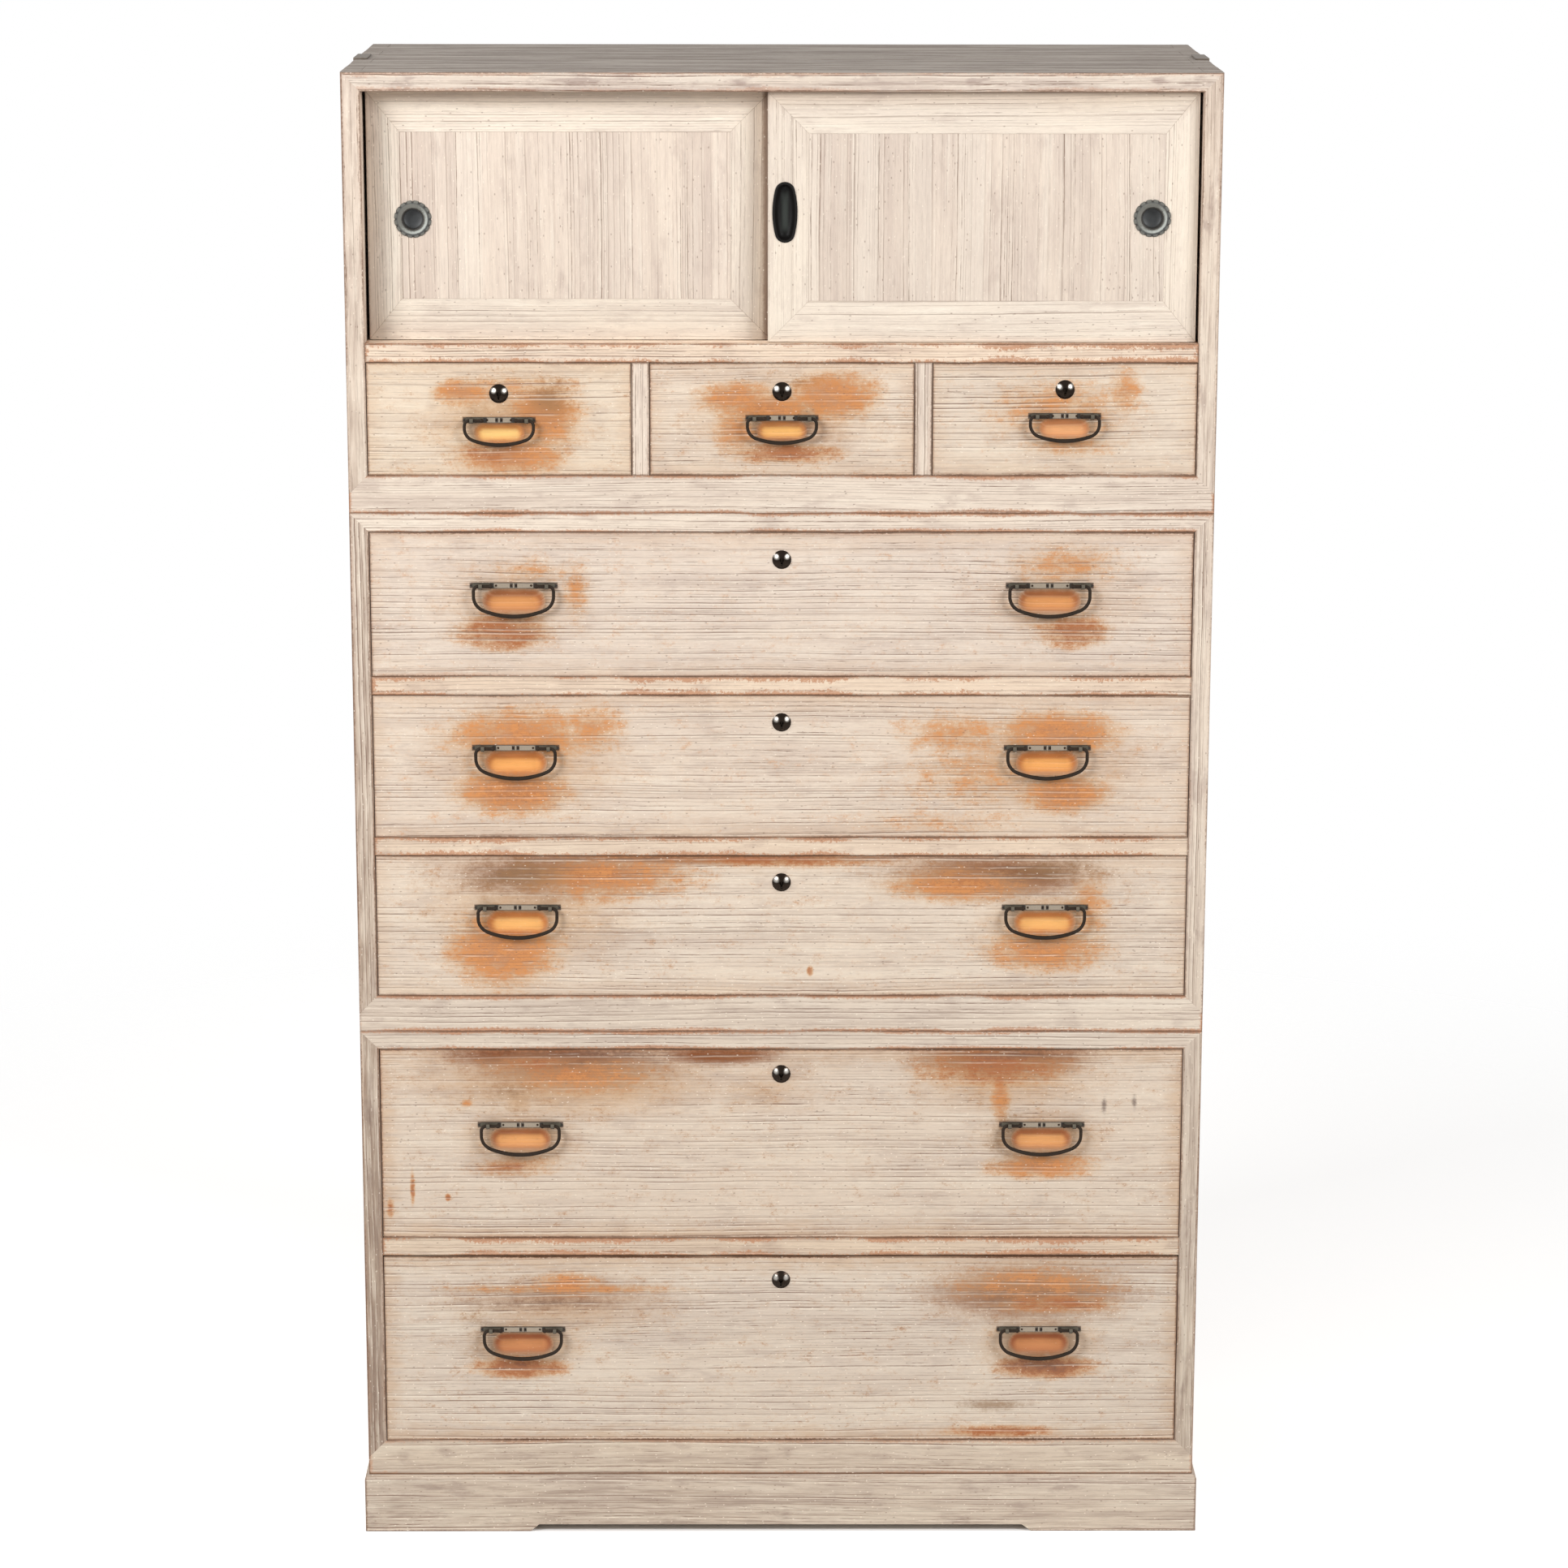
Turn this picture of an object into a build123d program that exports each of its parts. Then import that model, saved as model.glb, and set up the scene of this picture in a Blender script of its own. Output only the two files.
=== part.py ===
from build123d import *
from math import atan2, degrees
import os

# A stacked clothing chest in paulownia wood. Three cases stand on a plinth: the lower one holds two
# deep drawers, the middle one three wide drawers, and the upper one three small drawers below a
# cupboard with two sliding doors.
#
# Frame: millimetres, X to the right, Y to the back, Z up. The origin is on the floor, below the
# middle of the chest with its hardware.

os.makedirs("parts", exist_ok=True)

# ---- Cases ----
case_width = 1000.0
case_depth = 455.0
board = 22.0  # sides, tops and rails, as seen from the front
bottom_rail = 44.0  # rail below the lowest drawer of each case
divider = 20.0  # upright between two small drawers
rail_depth = 30.0
floor_board = 12.0  # floors and dust boards that the drawers run on
housing = 6.0  # how far floors and dust boards are let into the sides
back_board = 8.0
back_planks = 4
glue_line = 0.1  # joint between two boards of one assembly
fingers = 7  # finger joints between a side and a top, behind the mitre

# ---- Openings, from the bottom up ----
deep_drawer = 236.0
wide_drawer = 171.0
small_drawer = 131.0
cupboard = 286.0
small_drawer_count = 3

# ---- Plinth ----
plinth_height = 72.0
plinth_board = 24.0
plinth_proud = 5.0
plinth_chamfer = 4.0
cutout_inset = 200.0  # from each end of the front board to the cut-out
cutout_height = 9.0
cutout_slope = 12.0

# ---- Sliding doors ----
door_recess = 9.0  # front door's face behind the case's front
door_thickness = 16.0
door_spacing = 3.0  # between the two doors
door_play = 0.8  # above and below a door
jamb_gap = 3.5  # beside a shut door
front_door_edge = -16.3  # meeting edge of the front door
door_overlap = 4.0
door_rail = 47.0
meeting_stile = 47.0
outer_stile = 38.0
panel_tongue = 5.0
panel_tongue_thickness = 6.0
runner_thickness = 8.0  # tongue that runs in a track
runner_drop = 2.7
runner_rise = 3.2
runner_play = 0.3
floor_groove = 3.0
head_groove = 7.0
track_rail = 62.0  # depth of the shelf's front rail, which holds both tracks

# ---- Door pulls ----
pull_inset = 55.5  # round pull's centre from the jamb
left_pull_height = 139.0  # above the cupboard's floor
right_pull_height = 142.5
ring_radius = 21.5
ring_proud = 1.3
ring_notches = 16
notch_radius = 1.8
cup_radius = 12.5
cup_depth = 9.0
cup_wall = 1.2
cup_fit = 0.15
oval_inset = 19.5  # oval pull's centre from the front door's meeting edge
oval_height = 149.0
oval_width = 28.8
oval_length = 69.4
oval_end_radius = 11.5
oval_proud = 1.5
oval_rim = 3.0

# ---- Drawers ----
drawer_recess = 1.0
drawer_front = 20.0
drawer_board = 12.0  # sides and back
drawer_bottom = 9.0
drawer_lap = 8.0  # front's wood ahead of the sides' ends
drawer_side_gap = 0.8
drawer_top_gap = 0.8
bottom_drawer_top_gap = 2.0  # the bottom drawer is cut lower than the others
drawer_run_gap = 0.4  # between a drawer and the board it runs on
drawer_back_gap = 0.6
drawer_side_drop = 4.0  # sides' top below the opening's top

# ---- Locks ----
small_lock_below = 31.0  # keyhole below the opening's top
wide_lock_below = 32.5
deep_lock_below = 31.0
left_hardware_lower = 5.0  # lock and handle of the left small drawer, below those of the right one
centre_hardware_lower = 2.5
dome_radius = 11.0
dome_height = 5.0
keyhole_radius = 2.2
keyhole_slot = 2.2
keyhole_drop = 6.5
lock_barrel = 6.0  # radius
lock_case_width = 46.0
lock_case_height = 34.0
lock_case_depth = 10.0
lock_fit = 0.2

# ---- Drawer handles ----
wide_bail_half = 46.4  # wire's centre, each side of the handle's middle
wide_bail_drop = 35.6
wide_bail_leg = 6.0  # straight wire below the bend
wide_bail_shoulder = 18.0
wide_wire = 4.0
wide_plate = 102.0
wide_scoop_width = 73.0
wide_scoop_height = 28.0
wide_scoop_depth = 7.0
wide_scoop_below = 18.5  # hollow's middle below the strip
small_bail_half = 39.7
small_bail_drop = 28.2
small_bail_leg = 3.0
small_bail_shoulder = 15.0
small_wire = 3.8
small_plate = 84.0
small_scoop_width = 58.0
small_scoop_height = 22.5
small_scoop_depth = 5.5
small_scoop_below = 14.8
handle_inset = 167.0  # handle's middle from the side of a wide drawer's opening
deep_handle_below = 94.0  # strip below the opening's top
wide_handle_below = 63.0
small_handle_below = 61.5
strip_height = 6.5
strip_thickness = 1.6
strip_point = 5.0
strip_hole = 1.4
strip_hole_pair = 3.0
eye_standoff = 6.5
eye_wall = 1.3
eye_width = 4.0
eye_neck = 3.6
running_fit = 0.1
bail_bend = 6.0
tail_length = 12.0
knob_radius = 2.6  # on a wide drawer's wire
shank_radius = 1.5
shank_fit = 0.1

# ---- Side carrying handles of the upper case ----
carry_bail_half = 50.0
carry_bail_drop = 42.0
carry_bail_leg = 3.0
carry_bail_shoulder = 25.0
carry_wire = 7.0
carry_standoff = 9.0
carry_below = 26.0  # pivot below the case's top
carry_plate = 94.0
carry_plate_drop = 44.0
carry_plate_thickness = 2.0
carry_plate_shoulder = 7.0  # the plate's full width ends this far below the case's top
carry_lip = 14.0
carry_lip_width = 64.0

# ---- Worked out from the sizes above ----
handle_reach = eye_standoff + wide_wire / 2 + running_fit + eye_wall - drawer_recess
front_y = (handle_reach - case_depth) / 2
back_y = front_y + case_depth
middle_y = (front_y + back_y) / 2
half_width = case_width / 2
inner_half = half_width - board
panel_y = back_y - back_board


def stack(bottom, heights):
    """Low and high of each opening above a case's bottom rail, and the height of the case's top."""
    spans = []
    low = bottom + bottom_rail
    for height in heights:
        spans.append((low, low + height))
        low += height + board
    return spans, low


lower_openings, lower_top = stack(plinth_height, [deep_drawer] * 2)
middle_openings, middle_top = stack(lower_top, [wide_drawer] * 3)
upper_openings, upper_top = stack(middle_top, [small_drawer, cupboard])
small_opening, cupboard_opening = upper_openings


def save(piece, name):
    """Label a finished piece and write it as its own file."""
    piece.part.label = name
    export_step(piece.part, f"parts/{name}.step")


def block(x, y, z, mode=Mode.ADD):
    """Rectangular block between a low and a high place along each axis."""
    spans = [sorted(span) for span in (x, y, z)]
    centre = tuple((low + high) / 2 for low, high in spans)
    with Locations(centre):
        Box(*(high - low for low, high in spans), mode=mode)


def facing_front(x, y, z):
    """Plane whose normal points out of the chest's front, with its second direction up."""
    return Plane(origin=(x, y, z), x_dir=(1, 0, 0), z_dir=(0, -1, 0))


# ---- Plinth ----
def make_plinth():
    """Four boards under the lower case: chamfered outside, mitred at the front corners."""
    outer_half = half_width + plinth_proud
    cutout_half = outer_half - cutout_inset
    outer_front = front_y - plinth_proud
    inner = outer_half - plinth_board
    with BuildPart() as plinth:
        block((-outer_half, outer_half), (outer_front, back_y), (0, plinth_height))
        top_edges = plinth.edges().filter_by(Plane.XY).group_by(Axis.Z)[-1]
        chamfer(top_edges.sort_by(Axis.Y)[:-1], length=plinth_chamfer)
        hollow = (outer_front + plinth_board, back_y - plinth_board)
        block((-inner, inner), hollow, (0, plinth_height), Mode.SUBTRACT)
        with BuildSketch(facing_front(0, outer_front, 0)):
            with BuildLine():
                Polyline(
                    (-cutout_half, 0),
                    (cutout_slope - cutout_half, cutout_height),
                    (cutout_half - cutout_slope, cutout_height),
                    (cutout_half, 0),
                    close=True,
                )
            make_face()
        extrude(amount=-plinth_board, mode=Mode.SUBTRACT)
        corner_x, corner_y = outer_half - plinth_board / 2, outer_front + plinth_board / 2
        for side in (-1, 1):
            corner = (side * corner_x, corner_y, plinth_height / 2)
            with Locations(Location(corner, (0, 0, side * 45))):
                Box(glue_line, 2 * plinth_board, plinth_height, mode=Mode.SUBTRACT)
            joint = side * inner
            block(
                (joint, joint - side * glue_line),
                (back_y - plinth_board, back_y),
                (0, plinth_height),
                Mode.SUBTRACT,
            )
    save(plinth, "plinth")


# ---- Case boards ----
def finger_slots():
    """Stretches of depth, every other one, in which the top reaches the outside of the sides."""
    start = front_y + board
    finger = (back_y - start) / fingers
    return [(start + number * finger, start + (number + 1) * finger) for number in range(1, fingers, 2)]


def door_faces():
    """Y of the front door's face and of the rear door's face."""
    front_face = front_y + door_recess
    return front_face, front_face + door_thickness + door_spacing


def cut_tracks(z):
    """Two grooves for the door runners between two heights, inside the active part."""
    for face in door_faces():
        middle = face + door_thickness / 2
        reach = runner_thickness / 2 + runner_play
        block((-inner_half, inner_half), (middle - reach, middle + reach), z, Mode.SUBTRACT)


def make_top(name, top, tracks=False):
    """Top board: mitred to the sides along the front, finger-jointed to them behind."""
    under = top - board
    with BuildPart() as top_board:
        with BuildSketch(facing_front(0, front_y, 0)):
            with BuildLine():
                Polyline(
                    (-half_width, top),
                    (half_width, top),
                    (inner_half, under),
                    (-inner_half, under),
                    close=True,
                )
            make_face()
        extrude(amount=-board)
        block((-inner_half, inner_half), (front_y + board, back_y), (under, top))
        for slot in finger_slots():
            block((-half_width, half_width), slot, (under, top))
        if tracks:
            cut_tracks((under, under + head_groove))
    save(top_board, name)
    return top_board


def make_floor(name, bottom):
    """Front bottom rail, mitred into the sides, and the floor board behind it."""
    floor_top = bottom + bottom_rail
    mitre_bottom = floor_top - board
    with BuildPart() as floor:
        with BuildSketch(facing_front(0, front_y, 0)):
            with BuildLine():
                Polyline(
                    (-half_width, bottom),
                    (half_width, bottom),
                    (half_width, mitre_bottom),
                    (inner_half, floor_top),
                    (-inner_half, floor_top),
                    (-half_width, mitre_bottom),
                    close=True,
                )
            make_face()
        extrude(amount=-board)
        reach = inner_half + housing
        block(
            (-reach, reach),
            (front_y + board + glue_line, panel_y - glue_line),
            (floor_top - floor_board, floor_top),
        )
    save(floor, name)
    return floor


def rail_and_board(top, depth):
    """Rail below an opening and the board behind it, both level with the rail's top."""
    block((-inner_half, inner_half), (front_y, front_y + depth), (top - board, top))
    reach = inner_half + housing
    block((-reach, reach), (front_y + depth + glue_line, panel_y - glue_line), (top - floor_board, top))


def make_sides(name, bottom, top, joined, pins=()):
    """Two side boards, cut to take the boards that join them, the back and the pins of the hardware."""
    with BuildPart() as sides:
        for side in (-1, 1):
            block((side * inner_half, side * half_width), (front_y, back_y), (bottom, top))
        rebate = inner_half + back_board
        block((-rebate, rebate), (panel_y, back_y), (bottom, top - board), Mode.SUBTRACT)
        for piece in joined:
            add(piece.part, mode=Mode.SUBTRACT)
        for y, z in pins:
            with Locations(Location((0, y, z), (0, 90, 0))):
                Cylinder(shank_radius + shank_fit, 2 * case_width, mode=Mode.SUBTRACT)
    save(sides, name)


def make_backs():
    """Upright planks that close the three cases, let into rebates in the sides."""
    reach = inner_half + back_board
    plank = 2 * reach / back_planks
    cases = [(plinth_height, lower_top), (lower_top, middle_top), (middle_top, upper_top)]
    with BuildPart() as backs:
        for bottom, top in cases:
            for number in range(back_planks):
                left = -reach + number * plank
                block(
                    (left + glue_line, left + plank - glue_line),
                    (panel_y, back_y),
                    (bottom, top - board - glue_line),
                )
    save(backs, "back_planks")


# ---- Sliding doors ----
def make_pull_seat(x, y, z):
    """Pocket for a round cup, cut from the active part."""
    with Locations(Location((x, y, z), (90, 0, 0))):
        Cylinder(
            cup_radius + cup_fit,
            cup_depth + cup_fit,
            align=(Align.CENTER, Align.CENTER, Align.MAX),
            mode=Mode.SUBTRACT,
        )


def round_pull(x, y, z):
    """Notched ring with a finger cup, added to the active part."""
    with BuildSketch(Plane(origin=(x, y, z), x_dir=(1, 0, 0), z_dir=(0, 0, 1))) as profile:
        with BuildLine():
            Polyline(
                (0, cup_depth),
                (cup_radius, cup_depth),
                (cup_radius, 0),
                (ring_radius, 0),
                (ring_radius, -ring_proud),
                (cup_radius - cup_wall, -ring_proud),
                (cup_radius - cup_wall, cup_depth - cup_wall),
                (0, cup_depth - cup_wall),
                close=True,
            )
        make_face()
    revolve(profile.sketch, axis=Axis((x, y, z), (0, 1, 0)))
    with BuildSketch(facing_front(x, y, z)) as notches:
        with PolarLocations(ring_radius + notch_radius / 2, ring_notches):
            Circle(notch_radius)
    extrude(notches.sketch, amount=ring_proud, mode=Mode.SUBTRACT)


def oval_outline(x, y, z, inset=0.0):
    """Filled oval of two long and two short tangent arcs, drawn in by an inset."""
    half, end = oval_width / 2, oval_length / 2 - oval_end_radius
    side_radius = (half**2 + end**2 - oval_end_radius**2) / (2 * (half - oval_end_radius))
    lean = degrees(atan2(end, side_radius - half))
    with BuildSketch(facing_front(x, y, z)) as outline:
        with BuildLine():
            for side in (-1, 1):
                side_centre = (side * (half - side_radius), 0)
                CenterArc(side_centre, side_radius - inset, 90 - side * 90 - lean, 2 * lean)
                CenterArc((0, side * end), oval_end_radius - inset, side * 90 - 90 + lean, 180 - 2 * lean)
        make_face()
    return outline.sketch


def oval_pull(x, y, z):
    """Oval cup with a raised rim, added to the active part."""
    extrude(oval_outline(x, y, z), amount=oval_proud)
    extrude(oval_outline(x, y, z, oval_rim - cup_wall), amount=-cup_depth)
    hollow = oval_outline(x, y - oval_proud, z, oval_rim)
    extrude(hollow, amount=cup_wall - cup_depth - oval_proud, mode=Mode.SUBTRACT)


def make_door(name, side, face, meeting_edge, pull_height, oval_x=None):
    """Sliding door: mitred frame with runners, flush panel and pulls. side is -1 left, 1 right."""
    floor, head = cupboard_opening
    bottom, top = floor + door_play, head - door_play
    outer_edge = side * (inner_half - jamb_gap)
    outer = outer_edge - side * outer_stile
    meeting = meeting_edge + side * meeting_stile
    panel_bottom, panel_top = bottom + door_rail, top - door_rail
    back = face + door_thickness
    middle = face + door_thickness / 2
    pull = (side * (inner_half - pull_inset), face, floor + pull_height)

    with BuildPart() as frame:
        with BuildSketch(facing_front(0, face, 0)):
            for edge, inner in ((bottom, panel_bottom), (top, panel_top)):
                with BuildLine():
                    Polyline(
                        (outer_edge - side * glue_line, edge),
                        (meeting_edge + side * glue_line, edge),
                        (meeting + side * glue_line, inner),
                        (outer - side * glue_line, inner),
                        close=True,
                    )
                make_face()
            for edge, inner in ((outer_edge, outer), (meeting_edge, meeting)):
                with BuildLine():
                    Polyline(
                        (edge, bottom),
                        (edge, top),
                        (inner, panel_top),
                        (inner, panel_bottom),
                        close=True,
                    )
                make_face()
        extrude(amount=-door_thickness)
        groove = panel_tongue_thickness / 2 + glue_line
        tongue = panel_tongue + glue_line
        block(
            (outer + side * tongue, meeting - side * tongue),
            (middle - groove, middle + groove),
            (panel_bottom - tongue, panel_top + tongue),
            Mode.SUBTRACT,
        )
        runner = (middle - runner_thickness / 2, middle + runner_thickness / 2)
        ends = (outer_edge - side * door_play, meeting_edge + side * door_play)
        block(ends, runner, (bottom - door_play - runner_drop, bottom))
        block(ends, runner, (top, top + door_play + runner_rise))
        if oval_x is not None:
            seat = oval_outline(oval_x, face, floor + oval_height, oval_rim - cup_wall - cup_fit)
            extrude(seat, amount=-cup_depth - cup_fit, mode=Mode.SUBTRACT)
    save(frame, f"{name}_door_frame")

    with BuildPart() as panel:
        block(
            (outer - side * glue_line, meeting + side * glue_line),
            (face, back),
            (panel_bottom + glue_line, panel_top - glue_line),
        )
        block(
            (outer + side * panel_tongue, meeting - side * panel_tongue),
            (middle - panel_tongue_thickness / 2, middle + panel_tongue_thickness / 2),
            (panel_bottom - panel_tongue, panel_top + panel_tongue),
        )
        make_pull_seat(*pull)
    save(panel, f"{name}_door_panel")

    with BuildPart() as pulls:
        round_pull(*pull)
        if oval_x is not None:
            oval_pull(oval_x, face, floor + oval_height)
    save(pulls, f"{name}_door_pulls")


# ---- Handles ----
class Handle:
    """Sizes of one kind of handle."""

    def __init__(self, half, drop, leg, shoulder, wire, standoff):
        self.half = half
        self.drop = drop
        self.leg = leg
        self.shoulder = shoulder
        self.wire = wire
        self.standoff = standoff
        self.eye_x = half - bail_bend - eye_width / 2
        self.tail_x = self.eye_x - tail_length


wide_handle = Handle(
    wide_bail_half, wide_bail_drop, wide_bail_leg, wide_bail_shoulder, wide_wire, eye_standoff
)
small_handle = Handle(
    small_bail_half, small_bail_drop, small_bail_leg, small_bail_shoulder, small_wire, eye_standoff
)
carry_handle = Handle(
    carry_bail_half, carry_bail_drop, carry_bail_leg, carry_bail_shoulder, carry_wire, carry_standoff
)


def make_bail(name, face, handle):
    """Bent wire: knobbed tails along the pivot line, bends, legs, and a loop of three tangent arcs."""
    plane = face.offset(handle.standoff)
    half, drop, shoulder = handle.half, handle.drop, handle.shoulder
    knee = -bail_bend - handle.leg
    rise = drop + knee
    reach = half - shoulder
    radius = (reach**2 + rise**2 - shoulder**2) / (2 * (rise - shoulder))
    turn = degrees(atan2(radius - rise, reach))
    with BuildPart() as bail:
        with BuildLine(plane) as loop:
            Line((-handle.tail_x, 0), (bail_bend - half, 0))
            CenterArc((bail_bend - half, -bail_bend), bail_bend, 90, 90)
            Line((-half, -bail_bend), (-half, knee))
            CenterArc((-reach, knee), shoulder, 180, turn)
            CenterArc((0, radius - drop), radius, 180 + turn, 180 - 2 * turn)
            CenterArc((reach, knee), shoulder, -turn, turn)
            Line((half, knee), (half, -bail_bend))
            CenterArc((half - bail_bend, -bail_bend), bail_bend, 0, 90)
            Line((half - bail_bend, 0), (handle.tail_x, 0))
        path = loop.wire()
        with BuildSketch(Plane(origin=path @ 0, z_dir=path % 0)):
            Circle(handle.wire / 2)
        sweep(path=path)
        for side in (-1, 1):
            with Locations(plane.location * Location((side * handle.tail_x, 0, 0), (0, 0, 90 + side * 90))):
                Sphere(knob_radius * handle.wire / wide_wire)
    save(bail, name)


def add_eyes(face, handle, shank_length):
    """Two eyes around the pivot line, their necks and their shanks, added to the active part."""
    bore = handle.wire / 2 + running_fit
    for side in (-1, 1):
        start = face.from_local_coords((side * handle.eye_x - eye_width / 2, 0, handle.standoff))
        with BuildSketch(Plane(origin=start, z_dir=face.x_dir)) as ring:
            Circle(bore + eye_wall)
            Circle(bore, mode=Mode.SUBTRACT)
        extrude(ring.sketch, amount=eye_width)
        with BuildSketch(face) as neck:
            with Locations((side * handle.eye_x, 0)):
                Rectangle(eye_width, eye_neck)
        extrude(neck.sketch, amount=handle.standoff - bore - eye_wall / 2)
        with BuildSketch(face) as shank:
            with Locations((side * handle.eye_x, 0)):
                Circle(shank_radius)
        extrude(shank.sketch, amount=-shank_length)


def add_strip_plate(face, handle, length):
    """Pointed strip plate with small pierced holes, and its two eyes, added to the active part."""
    half, high = length / 2, strip_height / 2
    with BuildSketch(face) as strip:
        with BuildLine():
            Polyline(
                (-half, 0),
                (strip_point - half, high),
                (half - strip_point, high),
                (half, 0),
                (half - strip_point, -high),
                (strip_point - half, -high),
                close=True,
            )
        make_face()
        inner_hole = handle.tail_x - 2 * strip_hole_pair
        with Locations(*[(x, 0) for x in (-inner_hole, -strip_hole_pair, strip_hole_pair, inner_hole)]):
            Circle(strip_hole, mode=Mode.SUBTRACT)
    extrude(strip.sketch, amount=strip_thickness)
    add_eyes(face, handle, drawer_front)


# ---- Drawers ----
def cut_scoop(x, z, face_y, width, height, depth):
    """Carved finger hollow in the active part: a shallow slice of a round bar with ball ends."""
    radius = (height**2 / 4 + depth**2) / (2 * depth)
    axis_y = face_y + depth - radius
    ball = (width - height) / 2
    turn = degrees(atan2(height / 2, radius - depth))
    with BuildSketch(Plane.XY.offset(z)) as hollow:
        with BuildLine():
            CenterArc((x + ball, axis_y), radius, 90 - turn, turn)
            Line((x + ball, face_y + depth), (x - ball, face_y + depth))
            CenterArc((x - ball, axis_y), radius, 90, turn)
            Polyline(
                (x - width / 2, face_y),
                (x - width / 2, axis_y),
                (x + width / 2, axis_y),
                (x + width / 2, face_y),
            )
        make_face()
    revolve(hollow.sketch, axis=Axis((x, axis_y, z), (1, 0, 0)), mode=Mode.SUBTRACT)


def make_drawer(name, sides, opening, top_gap, lock_below, handle, plate, handle_below, centres, scoop):
    """Drawer for one opening: front, box, lock and handle plates, and its free bails."""
    left, right = sides[0] + drawer_side_gap, sides[1] - drawer_side_gap
    low, high = opening[0] + drawer_run_gap, opening[1] - top_gap
    face_y = front_y + drawer_recess
    front_back = face_y + drawer_front
    lap_y = face_y + drawer_lap
    box_back = panel_y - drawer_back_gap
    box_top = opening[1] - drawer_side_drop
    inner_left, inner_right = left + drawer_board, right - drawer_board
    lock_x, lock_z = (left + right) / 2, opening[1] - lock_below
    strip_z = opening[1] - handle_below
    faces = [facing_front(x, face_y, strip_z) for x in centres]
    scoop_width, scoop_height, scoop_depth, scoop_below = scoop
    case_y = (front_back - lock_case_depth, front_back)

    with BuildPart() as front:
        block((left, right), (face_y, front_back), (low, high))
        for end, inner in ((left, inner_left), (right, inner_right)):
            block((end, inner), (lap_y, front_back), (low, box_top), Mode.SUBTRACT)
        block((inner_left, inner_right), (lap_y, front_back), (low, low + drawer_bottom), Mode.SUBTRACT)
        for x in centres:
            cut_scoop(x, strip_z - scoop_below, face_y, scoop_width, scoop_height, scoop_depth)
            for side in (-1, 1):
                with Locations(Location((x + side * handle.eye_x, face_y, strip_z), (90, 0, 0))):
                    Cylinder(shank_radius + shank_fit, 3 * drawer_front, mode=Mode.SUBTRACT)
        with Locations(Location((lock_x, face_y, lock_z), (90, 0, 0))):
            Cylinder(lock_barrel + lock_fit, 2 * drawer_front, mode=Mode.SUBTRACT)
        case_half = lock_case_width / 2 + lock_fit
        case_reach = lock_case_height / 2 + lock_fit
        block(
            (lock_x - case_half, lock_x + case_half),
            (case_y[0] - lock_fit, case_y[1]),
            (lock_z - case_reach, lock_z + case_reach),
            Mode.SUBTRACT,
        )
    save(front, f"{name}_front")

    with BuildPart() as box:
        for end, inner in ((left, inner_left), (right, inner_right)):
            block((end, inner), (lap_y + glue_line, box_back), (low, box_top - glue_line))
        bottom_ends = (inner_left + glue_line, inner_right - glue_line)
        block(bottom_ends, (lap_y + glue_line, box_back), (low, low + drawer_bottom - glue_line))
        block(bottom_ends, (box_back - drawer_board, box_back), (low + drawer_bottom, box_top - glue_line))
    save(box, f"{name}_box")

    with BuildPart() as fittings:
        ball = (dome_radius**2 + dome_height**2) / (2 * dome_height)
        with BuildSketch(Plane(origin=(lock_x, face_y, lock_z), x_dir=(1, 0, 0), z_dir=(0, 0, 1))) as dome:
            with BuildLine():
                RadiusArc((dome_radius, 0), (0, -dome_height), ball)
                Polyline((0, -dome_height), (0, 0), (dome_radius, 0))
            make_face()
        revolve(dome.sketch, axis=Axis((lock_x, face_y, lock_z), (0, 1, 0)))
        lock_face = facing_front(lock_x, face_y, lock_z)
        with BuildSketch(lock_face) as barrel:
            Circle(lock_barrel)
        extrude(barrel.sketch, amount=-(drawer_front - lock_case_depth - glue_line))
        with BuildSketch(lock_face.offset(dome_height)) as keyhole:
            Circle(keyhole_radius)
            with Locations((0, -keyhole_drop / 2)):
                Rectangle(keyhole_slot, keyhole_drop)
        extrude(keyhole.sketch, amount=-(dome_height + drawer_front / 2), mode=Mode.SUBTRACT)
        block(
            (lock_x - lock_case_width / 2, lock_x + lock_case_width / 2),
            case_y,
            (lock_z - lock_case_height / 2, lock_z + lock_case_height / 2),
        )
        for face in faces:
            add_strip_plate(face, handle, plate)
    save(fittings, f"{name}_fittings")

    ends = ["bail"] if len(faces) == 1 else ["left_bail", "right_bail"]
    for end, face in zip(ends, faces):
        make_bail(f"{name}_{end}", face, handle)


# ---- Side carrying handles ----
def carry_face(side):
    """Plane on a side of the upper case, at the carrying handle's pivot height, facing out."""
    return Plane(
        origin=(side * half_width, middle_y, upper_top - carry_below),
        x_dir=(0, side, 0),
        z_dir=(side, 0, 0),
    )


def make_carry_handles():
    """Iron brackets folded over the top's side edges, their eyes, and the two free bails."""
    with BuildPart() as brackets:
        for side in (-1, 1):
            outside = side * (half_width + carry_plate_thickness)
            lip_end = side * (half_width - carry_lip)
            lip_top = upper_top + carry_plate_thickness
            plate_top = upper_top - carry_plate_shoulder
            plate_span = (middle_y - carry_plate / 2, middle_y + carry_plate / 2)
            lip_span = (middle_y - carry_lip_width / 2, middle_y + carry_lip_width / 2)
            block((side * half_width, outside), plate_span, (upper_top - carry_plate_drop, plate_top))
            block((side * half_width, outside), lip_span, (plate_top, lip_top))
            block((side * half_width, lip_end), lip_span, (upper_top, lip_top))
            add_eyes(carry_face(side), carry_handle, board)
    save(brackets, "carry_handle_brackets")
    for side, name in ((-1, "left_carry_bail"), (1, "right_carry_bail")):
        make_bail(name, carry_face(side), carry_handle)


# ---- The chest, from the floor up ----
make_plinth()

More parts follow.
